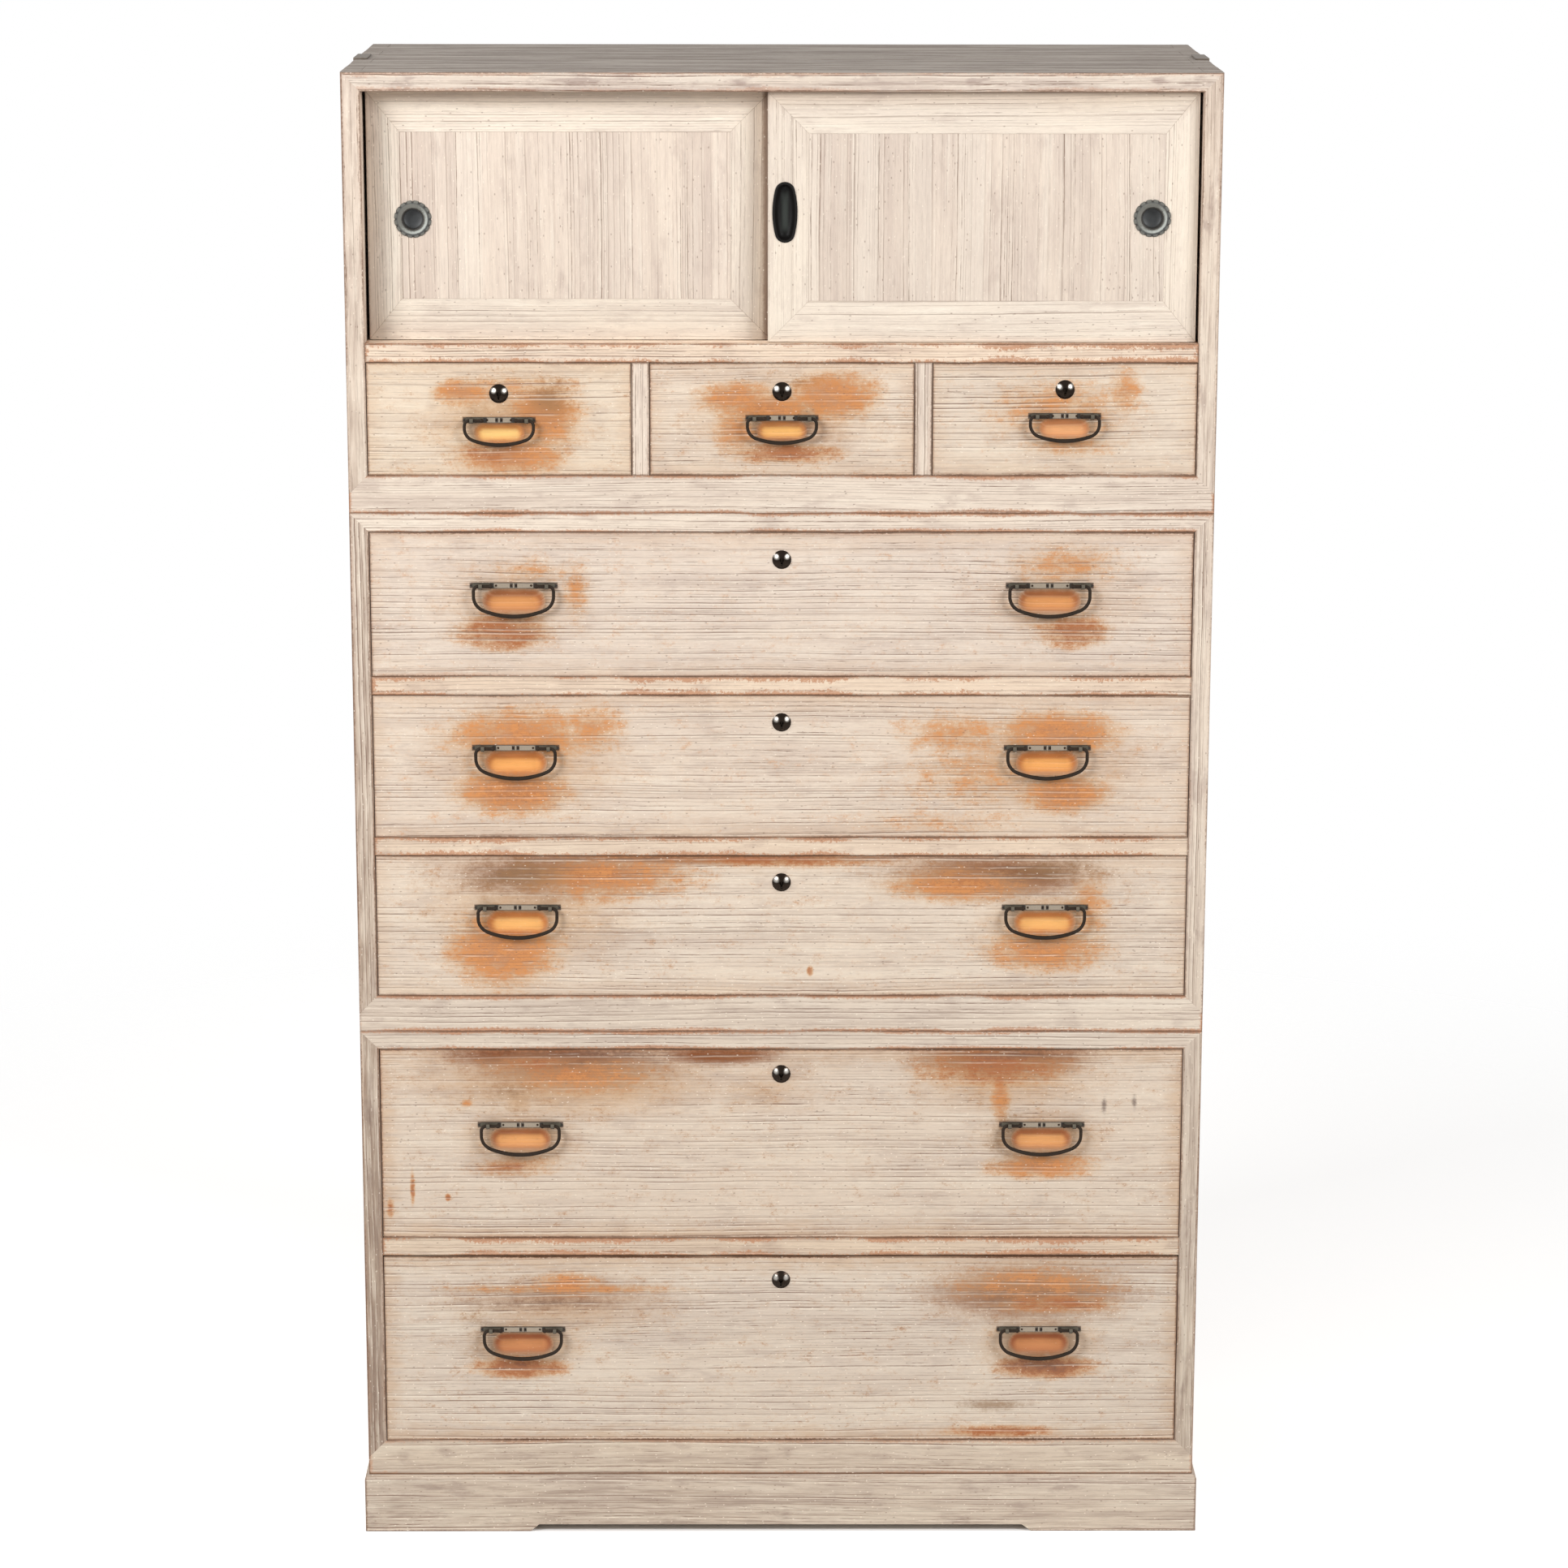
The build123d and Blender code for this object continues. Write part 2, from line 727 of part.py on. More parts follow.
with BuildPart() as drawer_rails:
    for opening in lower_openings[:-1] + middle_openings[:-1]:
        rail_and_board(opening[1] + board, rail_depth)
save(drawer_rails, "drawer_rails")

small_width = (2 * inner_half - (small_drawer_count - 1) * divider) / small_drawer_count
small_sides = [
    (left, left + small_width)
    for left in (-inner_half + number * (small_width + divider) for number in range(small_drawer_count))
]
with BuildPart() as dividers:
    for span in small_sides[1:]:
        block((span[0] - divider, span[0]), (front_y, panel_y - glue_line), small_opening)
save(dividers, "small_drawer_dividers")

with BuildPart() as shelf:
    rail_and_board(cupboard_opening[0], track_rail)
    cut_tracks((cupboard_opening[0] - floor_groove, cupboard_opening[0]))
save(shelf, "cupboard_shelf")

lower_boards = [make_floor("lower_floor", plinth_height), make_top("lower_top", lower_top)]
middle_boards = [make_floor("middle_floor", lower_top), make_top("middle_top", middle_top)]
upper_boards = [make_floor("upper_floor", middle_top), make_top("upper_top", upper_top, tracks=True)]
eye_places = [
    (middle_y + side * carry_handle.eye_x, upper_top - carry_below)
    for side in (-1, 1)
]
make_sides("lower_sides", plinth_height, lower_top, lower_boards + [drawer_rails])
make_sides("middle_sides", lower_top, middle_top, middle_boards + [drawer_rails])
make_sides("upper_sides", middle_top, upper_top, upper_boards + [shelf], eye_places)
make_backs()

front_face, rear_face = door_faces()
make_door("left", -1, rear_face, front_door_edge + door_overlap, left_pull_height)
make_door("right", 1, front_face, front_door_edge, right_pull_height, front_door_edge + oval_inset)

wide_sides = (-inner_half, inner_half)
wide_centres = (handle_inset - inner_half, inner_half - handle_inset)
wide_scoop = (wide_scoop_width, wide_scoop_height, wide_scoop_depth, wide_scoop_below)
small_scoop = (small_scoop_width, small_scoop_height, small_scoop_depth, small_scoop_below)
small_lower = (left_hardware_lower, centre_hardware_lower, 0.0)
for place, sides, lower in zip(("left", "centre", "right"), small_sides, small_lower):
    make_drawer(
        f"small_{place}_drawer",
        sides,
        small_opening,
        drawer_top_gap,
        small_lock_below + lower,
        small_handle,
        small_plate,
        small_handle_below + lower,
        [sum(sides) / 2],
        small_scoop,
    )
for place, opening in zip(("bottom", "middle", "top"), middle_openings):
    make_drawer(
        f"wide_{place}_drawer",
        wide_sides,
        opening,
        drawer_top_gap,
        wide_lock_below,
        wide_handle,
        wide_plate,
        wide_handle_below,
        wide_centres,
        wide_scoop,
    )
lower_gaps = (bottom_drawer_top_gap, drawer_top_gap)
for place, opening, gap in zip(("bottom", "top"), lower_openings, lower_gaps):
    make_drawer(
        f"deep_{place}_drawer",
        wide_sides,
        opening,
        gap,
        deep_lock_below,
        wide_handle,
        wide_plate,
        deep_handle_below,
        wide_centres,
        wide_scoop,
    )

make_carry_handles()
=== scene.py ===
import math
import zlib

import bmesh
import bpy
import numpy as np
from mathutils import Matrix, Vector


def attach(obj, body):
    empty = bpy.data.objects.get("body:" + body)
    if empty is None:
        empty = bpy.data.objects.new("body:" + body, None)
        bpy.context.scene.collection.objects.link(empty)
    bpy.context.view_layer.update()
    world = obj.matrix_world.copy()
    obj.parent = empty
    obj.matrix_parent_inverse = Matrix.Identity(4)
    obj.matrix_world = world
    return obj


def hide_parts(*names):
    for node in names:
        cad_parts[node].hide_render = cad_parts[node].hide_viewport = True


bl_info = {
    "name": "Stacked Paulownia Chest",
    "version": (1, 0, 0),
    "blender": (4, 5, 0),
    "location": "3D View > Sidebar > Chest",
    "description": "Looks of a stacked clothing chest with sliding doors, drawers and iron handles",
    "category": "Object",
}

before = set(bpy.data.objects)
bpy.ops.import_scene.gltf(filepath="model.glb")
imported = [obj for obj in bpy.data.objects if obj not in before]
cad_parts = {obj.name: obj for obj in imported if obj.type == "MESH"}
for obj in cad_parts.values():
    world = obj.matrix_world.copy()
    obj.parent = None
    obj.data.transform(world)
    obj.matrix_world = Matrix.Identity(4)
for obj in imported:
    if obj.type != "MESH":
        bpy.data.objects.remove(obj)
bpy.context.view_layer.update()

MM = 0.001
WELD = 2e-6
RNG_SPAN = 2**40
UP = 2

# ---- Sizes that the looks share with the model, in millimetres ----
FACE_Y = -222.05  # drawer fronts' outer face
EYE_STAND = 6.5  # from it to the bails' pivots
DOOR_FACES = {"left": -195.05, "right": -214.05}
ROUND_PULLS = {"left": (-422.5, 1591.0), "right": (422.5, 1594.5)}
OVAL_PULL = (3.2, 1601.0)
CUPBOARD_HALF = 478.0
CUPBOARD_HEAD = 1738.0
PLINTH_TOP = 72.0
TOP_FACE = 1760.0
CARRY_PIVOT = (509.0, 4.45, 1734.0)
WIDE_CENTRES = (-311.0, 311.0)
SMALL_SIDES = {"small_left": -325.33, "small_centre": 0.0, "small_right": 325.33}

# drawer: keyhole height, strip height
DRAWERS = {
    "small_left": (1394.0, 1363.5),
    "small_centre": (1396.5, 1366.0),
    "small_right": (1399.0, 1368.5),
    "wide_top": (1200.5, 1170.0),
    "wide_middle": (1007.5, 977.0),
    "wide_bottom": (814.5, 784.0),
    "deep_top": (579.0, 516.0),
    "deep_bottom": (321.0, 258.0),
}

# bail: half width, drop, leg, shoulder radius, wire diameter
BAILS = {
    "wide": (46.4, 35.6, 6.0, 18.0, 4.0),
    "small": (39.7, 28.2, 3.0, 15.0, 3.8),
    "carry": (50.0, 42.0, 3.0, 25.0, 7.0),
}
BAIL_BEND = 6.0
EYE_WIDTH = 4.0
TAIL_LENGTH = 12.0
KNOB_PER_WIRE = 0.65

# scoop: width, height, middle below the strip
SCOOPS = {"wide": (73.0, 28.0, 18.5), "small": (58.0, 22.5, 14.8)}
STRIPS = {"wide": 102.0, "small": 84.0}
STRIP_HEIGHT = 6.5
RUBBED_END = 28.0  # how far from a strip plate's ends its rubbed middle stops
DOME_RADIUS = 11.0
DOME_HEIGHT = 5.0
DOME_SIDES = 96
PULL_NOTCHES = 16
DOME_HIGHLIGHT_SPOT = (6.3, 3.6)  # where the dome's two painted highlights lie, beside its middle and above it
KEYHOLE_RADIUS = 2.2
KEYHOLE_LENGTH = 6.5  # from the round part's middle to the slot's lower end
SLOT_HALF_WIDTH = 1.1
KEYHOLE_DEPTH = 6.0
BARREL_RADIUS = 7.2
PULL_SIDES = 192
FLANGE_RADIUS = 21.5
NOTCH_CIRCLE = 22.4  # radius on which the notches' middles lie
NOTCH_RADIUS = 1.8
NOTCH_BAND = (17.4, 18.8)  # radii between which the flange darkens towards its notches
SEAT_RADIUS = 12.5
CUP_DEPTH = 7.8
OVAL_SIZES = (14.4, 34.7, 11.5)  # half width, half height and radius of the ends
FITTING_BACK = 9.0  # how far cups and domes reach behind their face
WIRE_THIN = 0.97  # the wire's radius at its ends, as a share of the usual one
WIRE_SWELL = 0.25  # and how much more it is in the middle
HAMMER_MARKS = 0.012
WIRE_SIDES = 16
WIRE_RINGS = 110
KNOB_RINGS = 14

# ---- How copies of the boards and plates are softened, in degrees, metres and square metres ----
CREASE_ANGLE = 33  # from here on the edge between two faces is shaded sharp
FLAT_ANGLE = 0.4  # up to here two faces are joined
SHARP_ANGLE = 28  # from here on an edge is rounded
# Softness of these boards as a share of the outer ones'
INNER_SOFTNESS = 0.6
MEMBER_SOFTNESS = 0.3
PANEL_SOFTNESS = 0.2
LEAST_WOOD_EDGE = 0.006  # shorter edges stay sharp
LEAST_PLATE_EDGE = 0.002
LEAST_BRACKET_EDGE = 0.003
SMALL_FACE = 60e-6  # smaller faces are shaded smooth
SMALL_PLATE_FACE = 30e-6
# A dome is narrower than a strip plate, deeper than an eye, and has many triangles
DOME_WIDTH, DOME_DEPTH, DOME_TRIANGLES = 0.07, 0.012, 100

# ---- Tones and light ----
# What the wash of each group of boards is multiplied by
DOOR_TONE = (0.93, 0.93, 0.94)
FRAME_TONE = (1.0, 1.03, 1.04)
RUNNER_TONE = (1.02, 0.96, 0.895)
LOW_RAIL_TONE = (1.0, 0.99, 0.97)
TOP_TONE = (0.84, 0.84, 0.85)

# Display colours
HOLLOW_RIM_SHADE_AND_DIRT = (214, 184, 156)
INNER_SHADE = (188, 156, 118)
INNER_LINE = (160, 122, 86)
INNER_SEAM = (112, 82, 56)
OVAL_BLACK = (18, 16, 15)
# Painted highlight down the middle of the oval pull
OVAL_HIGHLIGHT = (70, 74, 70)

DARKENING_TOP = 1700.0  # the boards are made darker downwards from this height
STRIP_OF_PANEL = 32.0  # usual width of the strips that a door panel is glued up from
# X of the two lines from which the painted shade on each door reaches inwards: for the left door the jamb
# and the front door's edge. Those of the right door lie outside it, so less shade is painted on it.
DOOR_SHADES = {"left": (-CUPBOARD_HALF, -18.0), "right": (-60.0, CUPBOARD_HALF + 12.0)}

# The stage, in metres and watts, but the camera's place in millimetres
LAMPS = {"key_lamp": ((-3.0, -2.4, 2.9), 122.0), "fill_lamp": ((3.1, -2.4, 2.9), 97.0)}
LAMP_SIZE = 1.5
LAMP_TARGET = (0.0, 0.0, 0.9)
CAMERA_PLACE = (-23.58, -5387.75, 2146.72)
CAMERA_ANGLES = (13.2178, 0.2936, 0.0702)  # pitch, yaw and roll in degrees
SENSOR_WIDTH = 36.0
CLIP_END = 200.0
FLOOR_RADIUS = 3.2
FLOOR_RINGS = 24
FLOOR_SIDES = 96

# Colours of the scoops' bare wood at the rim and in the middle. The darker rim, strongest at the top, is
# partly painted shade, and the paler middle partly painted light
HOLLOWS = {
    "small_left": ((206, 140, 80), (255, 208, 130)),
    "small_centre": ((202, 134, 76), (252, 192, 112)),
    "small_right": ((206, 138, 90), (236, 172, 118)),
    "wide_top": ((180, 112, 66), (226, 156, 94)),
    "wide_middle": ((196, 122, 64), (246, 174, 98)),
    "wide_bottom": ((200, 126, 68), (250, 188, 112)),
    "deep_top": ((176, 108, 66), (238, 170, 106)),
    "deep_bottom": ((160, 92, 56), (206, 138, 88)),
}

# How the wash of each drawer differs from the general one
DRAWER_TONES = {
    "small_left": (0.95, 0.93, 0.88),
    "small_centre": (0.96, 0.94, 0.91),
    "small_right": (0.91, 0.90, 0.88),
    "wide_top": (0.97, 0.96, 0.97),
    "wide_middle": (0.97, 0.95, 0.94),
    "wide_bottom": (1.0, 0.99, 0.98),
    "deep_top": (0.98, 0.96, 0.95),
    "deep_bottom": (0.99, 0.99, 1.0),
}

# Worn places on each drawer front: kind, middle along X and Z, half sizes, strength.
# o is bare orange wood, r deeper red-brown, t a soft tan stain, b a soft brown stain, s a grey smudge,
# p a dark smudge.
WEAR = {
    "small_left": (
        ("b", -300, 1358, 52, 34, 0.4), ("t", -318, 1362, 88, 48, 0.9), ("o", -369, 1396, 28, 13, 0.9),
        ("o", -272, 1370, 36, 36, 0.9), ("o", -312, 1321, 54, 19, 0.95), ("o", -302, 1405, 65, 8, 0.5),
        ("s", -268, 1387, 26, 24, 0.7), ("r", -340, 1325, 37, 13, 0.5),
    ),
    "small_centre": (
        ("b", 4, 1352, 62, 28, 0.45), ("t", 0, 1365, 92, 45, 0.9), ("o", -54, 1389, 39, 17, 0.9),
        ("o", 61, 1392, 45, 24, 1.0), ("o", -52, 1351, 24, 21, 0.7), ("r", 2, 1325, 56, 10, 0.9),
        ("o", -17, 1377, 51, 15, 0.9), ("s", 20, 1406, 37, 13, 0.3),
    ),
    "small_right": (
        ("t", 325, 1362, 84, 42, 0.6), ("o", 394, 1396, 17, 24, 0.6), ("o", 315, 1378, 70, 32, 0.45),
        ("o", 334, 1335, 47, 13, 0.4),
    ),
    "wide_top": (
        ("t", -311, 1150, 92, 50, 0.6), ("t", 325, 1155, 92, 50, 0.6), ("b", -320, 1118, 50, 20, 0.5),
        ("b", 338, 1118, 38, 17, 0.4), ("r", -324, 1115, 49, 20, 0.9), ("o", -239, 1161, 14, 25, 0.5),
        ("r", 340, 1115, 36, 17, 0.85), ("o", 329, 1196, 58, 21, 0.45), ("o", -286, 1188, 57, 13, 0.3),
    ),
    "wide_middle": (
        ("t", -300, 960, 110, 62, 0.8), ("t", 300, 955, 120, 60, 0.8), ("o", -307, 992, 74, 29, 0.8),
        ("o", -221, 1002, 34, 25, 0.6), ("o", -315, 923, 57, 23, 1.0), ("b", -315, 925, 52, 22, 0.65),
        ("b", 333, 923, 40, 20, 0.5), ("o", 325, 995, 63, 23, 0.95), ("o", 202, 995, 59, 23, 0.5),
        ("o", 333, 921, 42, 20, 1.0), ("o", 221, 941, 86, 33, 0.33), ("o", 179, 888, 86, 14, 0.3),
    ),
    "wide_bottom": (
        ("t", -300, 775, 120, 65, 0.8), ("t", 250, 820, 130, 30, 0.9), ("t", 318, 755, 80, 48, 0.7),
        ("s", 250, 826, 112, 16, 0.35), ("b", -262, 826, 125, 28, 0.75), ("b", 250, 822, 110, 24, 0.8),
        ("b", -110, 843, 250, 7, 0.9), ("r", -30, 843, 120, 6, 0.8), ("r", 34, 706, 3.5, 5.5, 1.0),
        ("o", -329, 732, 56, 40, 1.0), ("o", -199, 821, 91, 26, 0.7), ("o", 208, 812, 69, 18, 0.85),
        ("o", 310, 732, 63, 24, 0.8), ("o", 364, 784, 21, 39, 0.5), ("s", -309, 824, 67, 20, 0.7),
        ("s", 314, 829, 67, 15, 0.7), ("r", 7, 840, 105, 7, 0.6), ("o", -237, 819, 29, 20, 0.8),
    ),
    "deep_top": (
        ("t", -255, 572, 170, 44, 1.0), ("t", 265, 575, 105, 42, 0.8), ("t", -312, 553, 26, 26, 1.0),
        ("t", -20, 560, 70, 34, 0.5), ("b", -300, 603, 92, 18, 1.0), ("b", -250, 590, 105, 28, 0.75),
        ("b", -72, 603, 66, 12, 1.0), ("b", 262, 598, 92, 24, 1.0), ("b", -330, 462, 36, 13, 0.5),
        ("b", 296, 466, 34, 11, 0.5), ("r", -399, 425, 3, 4, 0.9), ("r", -468, 412, 4, 12, 0.6),
        ("o", -240, 577, 84, 19, 0.6), ("r", -290, 592, 60, 14, 0.5), ("r", 254, 588, 82, 24, 0.7),
        ("o", 261, 555, 10, 32, 0.8), ("o", 311, 463, 58, 14, 0.8), ("s", -319, 555, 30, 22, 0.35),
        ("p", -253, 603, 120, 6, 0.5), ("p", 288, 603, 68, 7, 0.6), ("s", 265, 497, 21, 40, 0.5),
        ("r", -317, 463, 49, 12, 0.5), ("o", -375, 543, 6, 4, 0.7), ("r", -441, 437, 2.6, 19, 0.9),
        ("p", 385, 540, 3, 10, 0.8), ("p", 421, 543, 3, 10, 0.7),
    ),
    "deep_bottom": (
        ("t", -270, 290, 135, 40, 0.7), ("t", 300, 300, 115, 40, 0.7), ("b", -262, 304, 130, 22, 0.4),
        ("b", 300, 306, 118, 32, 0.8), ("b", 320, 211, 52, 15, 0.8), ("b", -316, 211, 48, 12, 0.6),
        ("o", -256, 316, 32, 13, 0.75), ("o", -258, 309, 125, 5, 0.55), ("p", -288, 291, 90, 7, 0.35),
        ("o", 301, 316, 96, 20, 0.5), ("p", 318, 211, 48, 11, 0.6), ("p", -316, 211, 40, 9, 0.35),
        ("r", 331, 290, 69, 10, 0.7), ("r", -316, 209, 49, 12, 0.95), ("r", 322, 209, 51, 13, 0.95),
        ("r", 264, 127, 61, 7, 0.8), ("s", 254, 161, 45, 8, 0.8), ("s", -364, 254, 25, 31, 0.3),
    ),
}


def drawer_kind(drawer):
    """small for the small drawers, wide for the wide and the deep ones."""
    return "small" if drawer.startswith("small") else "wide"


def handle_centres(drawer):
    """X of the middle of each handle of a drawer, in millimetres."""
    return (SMALL_SIDES[drawer],) if drawer in SMALL_SIDES else WIDE_CENTRES


def colour(red, green, blue):
    """A display colour from 0 to 255 as the linear colour that a shader takes."""
    share = np.array((red, green, blue)) / 255
    linear = np.where(share > 0.04045, ((share + 0.055) / 1.055) ** 2.4, share / 12.92)
    return tuple(float(part) for part in linear)


# ---- Settings that a user would change ----
def tint(name, description, rgb):
    """Colour setting with a default written as a display colour."""
    return bpy.props.FloatVectorProperty(
        name=name, description=description, subtype="COLOR", size=3, min=0, max=1, default=colour(*rgb)
    )


def share(name, description, default, high=1.0):
    """Plain number from 0 upwards."""
    return bpy.props.FloatProperty(name=name, description=description, default=default, min=0, max=high)


def length(name, description, default):
    """Length setting, in metres."""
    return bpy.props.FloatProperty(
        name=name, description=description, default=default, min=0, unit="LENGTH", precision=5
    )


class ChestWood(bpy.types.PropertyGroup):
    """Finish of the paulownia boards"""

    wash: tint("Wash", "Pale wash over the brushed wood", (238, 221, 203))
    bright: tint("Bright wash", "Wash where it lies thick", (250, 238, 221))
    shade: tint("Shade", "Greyer patches in the wash", (230, 213, 197))
    smudge: tint("Smudge", "Grey-pink bands and handling marks", (198, 178, 165))
    grain_line: tint("Grain line", "Dark colour rubbed into the brushed grain", (120, 94, 78))
    wear: tint("Wear", "Bare wood where hands and iron rub", (180, 104, 50))
    bright_wear: tint("Bright wear", "Bare wood that was rubbed last", (208, 140, 84))
    deep_wear: tint("Deep wear", "Older, darker bare wood", (158, 92, 56))
    edge_wear: tint("Edge wear", "Bare wood along the edges", (186, 130, 94))
    # Dark line along the edges; also the painted shadow above the plinth and the painted shade beside the
    # door slit
    dark_edge_and_shade: tint("Edge dirt", "Dark line along the edges", (108, 76, 54))
    dirt: tint("Dirt", "Soiling of the uprights, rails and plinth", (194, 184, 178))
    brown_stain: tint("Brown stain", "Soft brown stain of hands and water", (166, 114, 76))
    # Also darkens the drawer fronts towards their edges and gives the painted shade round the handles
    halo: tint("Halo", "Dirt around the worn places", (226, 198, 168))
    # Painted contact shadow round the strip plates, and dirt under them
    plate_shadow_and_dirt: tint("Contact", "Dark line under and around the strip plates", (66, 52, 44))
    # Colour of the painted shade on the doors, near the edges of their opening
    door_shade: tint("Door edge", "Grime round the rear door", (196, 180, 166))
    tan: tint("Tan", "Warm stain that spreads from the worn places", (230, 196, 156))
    grey_mark: tint("Grey mark", "Grey-brown handling stains", (138, 106, 74))
    dark_mark: tint("Dark mark", "Black-brown stains", (92, 74, 70))
    # Makes the boards darker towards the bottom
    lower_tone: tint("Lower tone", "Dust that the lower boards have taken up", (222, 222, 219))
    # The chest's upper surface is drawn greyer and darker than its front
    top_tone: tint("Top tone", "Dusty upper surface of the top", (120, 108, 99))
    top_bright: tint("Top highlight", "Paler grain of the top", (178, 168, 158))
    inside: tint("Inside", "Unwashed wood of boxes and backs", (206, 176, 138))
    wear_amount: share("Wear amount", "Strength of the worn places", 1.0, 2.0)
    line_strength: share("Grain strength", "Strength of the dark grain lines", 0.92, 2.0)
    # How much darker the lowest boards are made
    lower_share: share("Lower dust", "How dusty the lowest boards are", 1.0)
    edge_line: share("Edge line", "Strength of the dark line along the edges", 0.75)
    line_gap: length("Grain spacing", "Usual distance between two strong grain lines", 0.0075)
    softness: length("Edge softness", "Rounding of the outer edges of the boards", 0.0011)


class ChestIron(bpy.types.PropertyGroup):
    """Finish of the iron fittings"""

    wire: tint("Wire", "Forged wire of the bails", (42, 34, 27))
    plate: tint("Plate", "Blackened plates and eyes", (86, 80, 68))
    rim: tint("Plate rim", "Dark line round the plates and the keyholes", (34, 29, 26))
    bracket: tint("Bracket", "Dull brackets of the carrying handles", (104, 95, 86))
    dome: tint("Dome", "Glossy black keyhole plates", (42, 35, 30))
    # Painted highlights: the colour of two bright spots on the shoulders of each dome
    dome_highlight: tint("Dome sheen", "Polished shoulders of the domes", (176, 171, 164))
    pewter: tint("Rubbed plate", "Rubbed grey middle of the strip plates", (170, 156, 138))
    rust: tint("Rust", "Rust in the hollows", (98, 62, 44))
    ring: tint("Pull ring", "Dull ring of the round pulls", (104, 103, 97))
    # Painted highlight: a bright band round the flat flange of the round pulls, strongest towards the lower
    # right
    ring_light: tint("Pull ring highlight", "Bright bead round the round pulls", (184, 188, 182))
    cup: tint("Pull cup", "Floor of the round pulls", (68, 70, 72))
    softness: length("Edge softness", "Rounding of the iron edges", 0.0003)


class ChestStage(bpy.types.PropertyGroup):
    """Light, floor and camera"""

    lamp: share("Lamp strength", "Strength of the studio lamps", 1.0, 10.0)
    sky: share("Sky strength", "Strength of the even light from all sides", 0.38, 10.0)
    floor: tint("Floor", "Colour of the studio floor", (250, 249, 248))
    floor_lift: share("Floor lift", "How much whiter the camera sees the floor", 0.4)
    lens: bpy.props.FloatProperty(
        name="Lens", description="Focal length of the camera", default=103.93, min=20, max=300, unit="CAMERA"
    )


# ---- Shader maths ----
def _operator(operation, flipped=False):
    def apply(self, other):
        pair = (other, self) if flipped else (self, other)
        return self.nodes.node("Math", {"operation": operation}, dict(enumerate(pair)))

    return apply


class Value:
    """One socket of a material being built. The operators add Math nodes."""

    def __init__(self, nodes, socket):
        self.nodes = nodes
        self.socket = socket

    __add__ = _operator("ADD")
    __radd__ = _operator("ADD", True)
    __sub__ = _operator("SUBTRACT")
    __rsub__ = _operator("SUBTRACT", True)
    __mul__ = _operator("MULTIPLY")
    __rmul__ = _operator("MULTIPLY", True)
    __truediv__ = _operator("DIVIDE")
    __or__ = _operator("MAXIMUM")
    __and__ = _operator("MINIMUM")
    __pow__ = _operator("POWER")

    def __abs__(self):
        return self.nodes.node("Math", {"operation": "ABSOLUTE"}, {0: self})


class Nodes:
    """Builds the node tree of one material, or of a world."""

    def __init__(self, name, kind="materials", shader="Principled BSDF"):
        self.owner = getattr(bpy.data, kind).new(name)
        self.owner.use_nodes = True
        self.tree = self.owner.node_tree
        self.shader = self.tree.nodes[shader]
        self.base = None

    def plug(self, socket, value):
        """Links a value to a socket, or sets a constant on it."""
        if isinstance(value, Value):
            self.tree.links.new(value.socket, socket)
        elif socket.type == "RGBA" and len(value) == 3:
            socket.default_value = (*value, 1.0)
        else:
            socket.default_value = value

    def node(self, kind, settings=None, inputs=None, output=0):
        """Adds one node: its settings first, then its sockets. output names one socket or several."""
        node = self.tree.nodes.new("ShaderNode" + kind)
        for key, value in (settings or {}).items():
            setattr(node, key, value)
        for key, value in (inputs or {}).items():
            self.plug(node.inputs[key], value)
        if isinstance(output, tuple):
            return [Value(self, node.outputs[key]) for key in output]
        return Value(self, node.outputs[output])

    def split(self, vector):
        """Three parts of a vector or colour."""
        return self.node("SeparateXYZ", {}, {0: vector}, ("X", "Y", "Z"))

    def join(self, x, y, z):
        """Vector of three parts."""
        return self.node("CombineXYZ", {}, {0: x, 1: y, 2: z})

    def attribute(self, name):
        """Vector stored on the piece."""
        return self.node("Attribute", {"attribute_name": name}, {}, "Vector")

    def place(self):
        """Place in the row frame, in millimetres."""
        where = self.node("TexCoord", {}, {}, "Object")
        return self.node("VectorMath", {"operation": "SCALE"}, {0: where, "Scale": 1 / MM})

    def noise(self, x, y, z, detail=2.0, roughness=0.5):
        """Noise from 0 to 1 at a point given by three parts, already scaled."""
        vector = self.join(x, y, z)
        inputs = {"Vector": vector, "Scale": 1.0, "Detail": detail, "Roughness": roughness}
        return self.node("TexNoise", {}, inputs)

    def rise(self, value, low, high):
        """0 below low, 1 above high and smooth between. low may be the higher one."""
        inputs = {"Value": value, "From Min": low, "From Max": high}
        if low > high:
            inputs.update({"From Min": high, "From Max": low, "To Min": 1.0, "To Max": 0.0})
        return self.node("MapRange", {"interpolation_type": "SMOOTHSTEP"}, inputs)

    def mix(self, factor, first, second, blend="MIX"):
        """Colour between two colours."""
        settings = {"data_type": "RGBA", "blend_type": blend}
        return self.node("Mix", settings, {0: factor, 6: first, 7: second}, 2)

    def coat(self, factor, tone, blend="MIX"):
        """Lays a tone over the base colour made so far."""
        self.base = self.mix(factor, self.base, tone, blend)

    def brighten(self, amount):
        """Multiplies the brightness of the base colour made so far."""
        self.base = self.node("HueSaturation", {}, {"Color": self.base, "Value": amount})

    def seen(self):
        """1 for what the camera sees, also in metal or through glass, and 0 for what only gives light."""
        names = ("Is Camera Ray", "Is Glossy Ray", "Is Transmission Ray")
        camera, glossy, through = self.node("LightPath", {}, {}, names)
        return camera | glossy | through

    def bump(self, height, strength, distance):
        """Sends a height from 0 to 1 to the shader's normal. distance is in metres."""
        inputs = {"Height": height, "Strength": strength, "Distance": distance}
        self.plug(self.shader.inputs["Normal"], self.node("Bump", {}, inputs))

    def finish(self, **sockets):
        """Sets the shader's sockets by name, with _ for a space, and gives back the material or world."""
        for name, value in sockets.items():
            self.plug(self.shader.inputs[name.replace("_", " ")], value)
        return self.owner


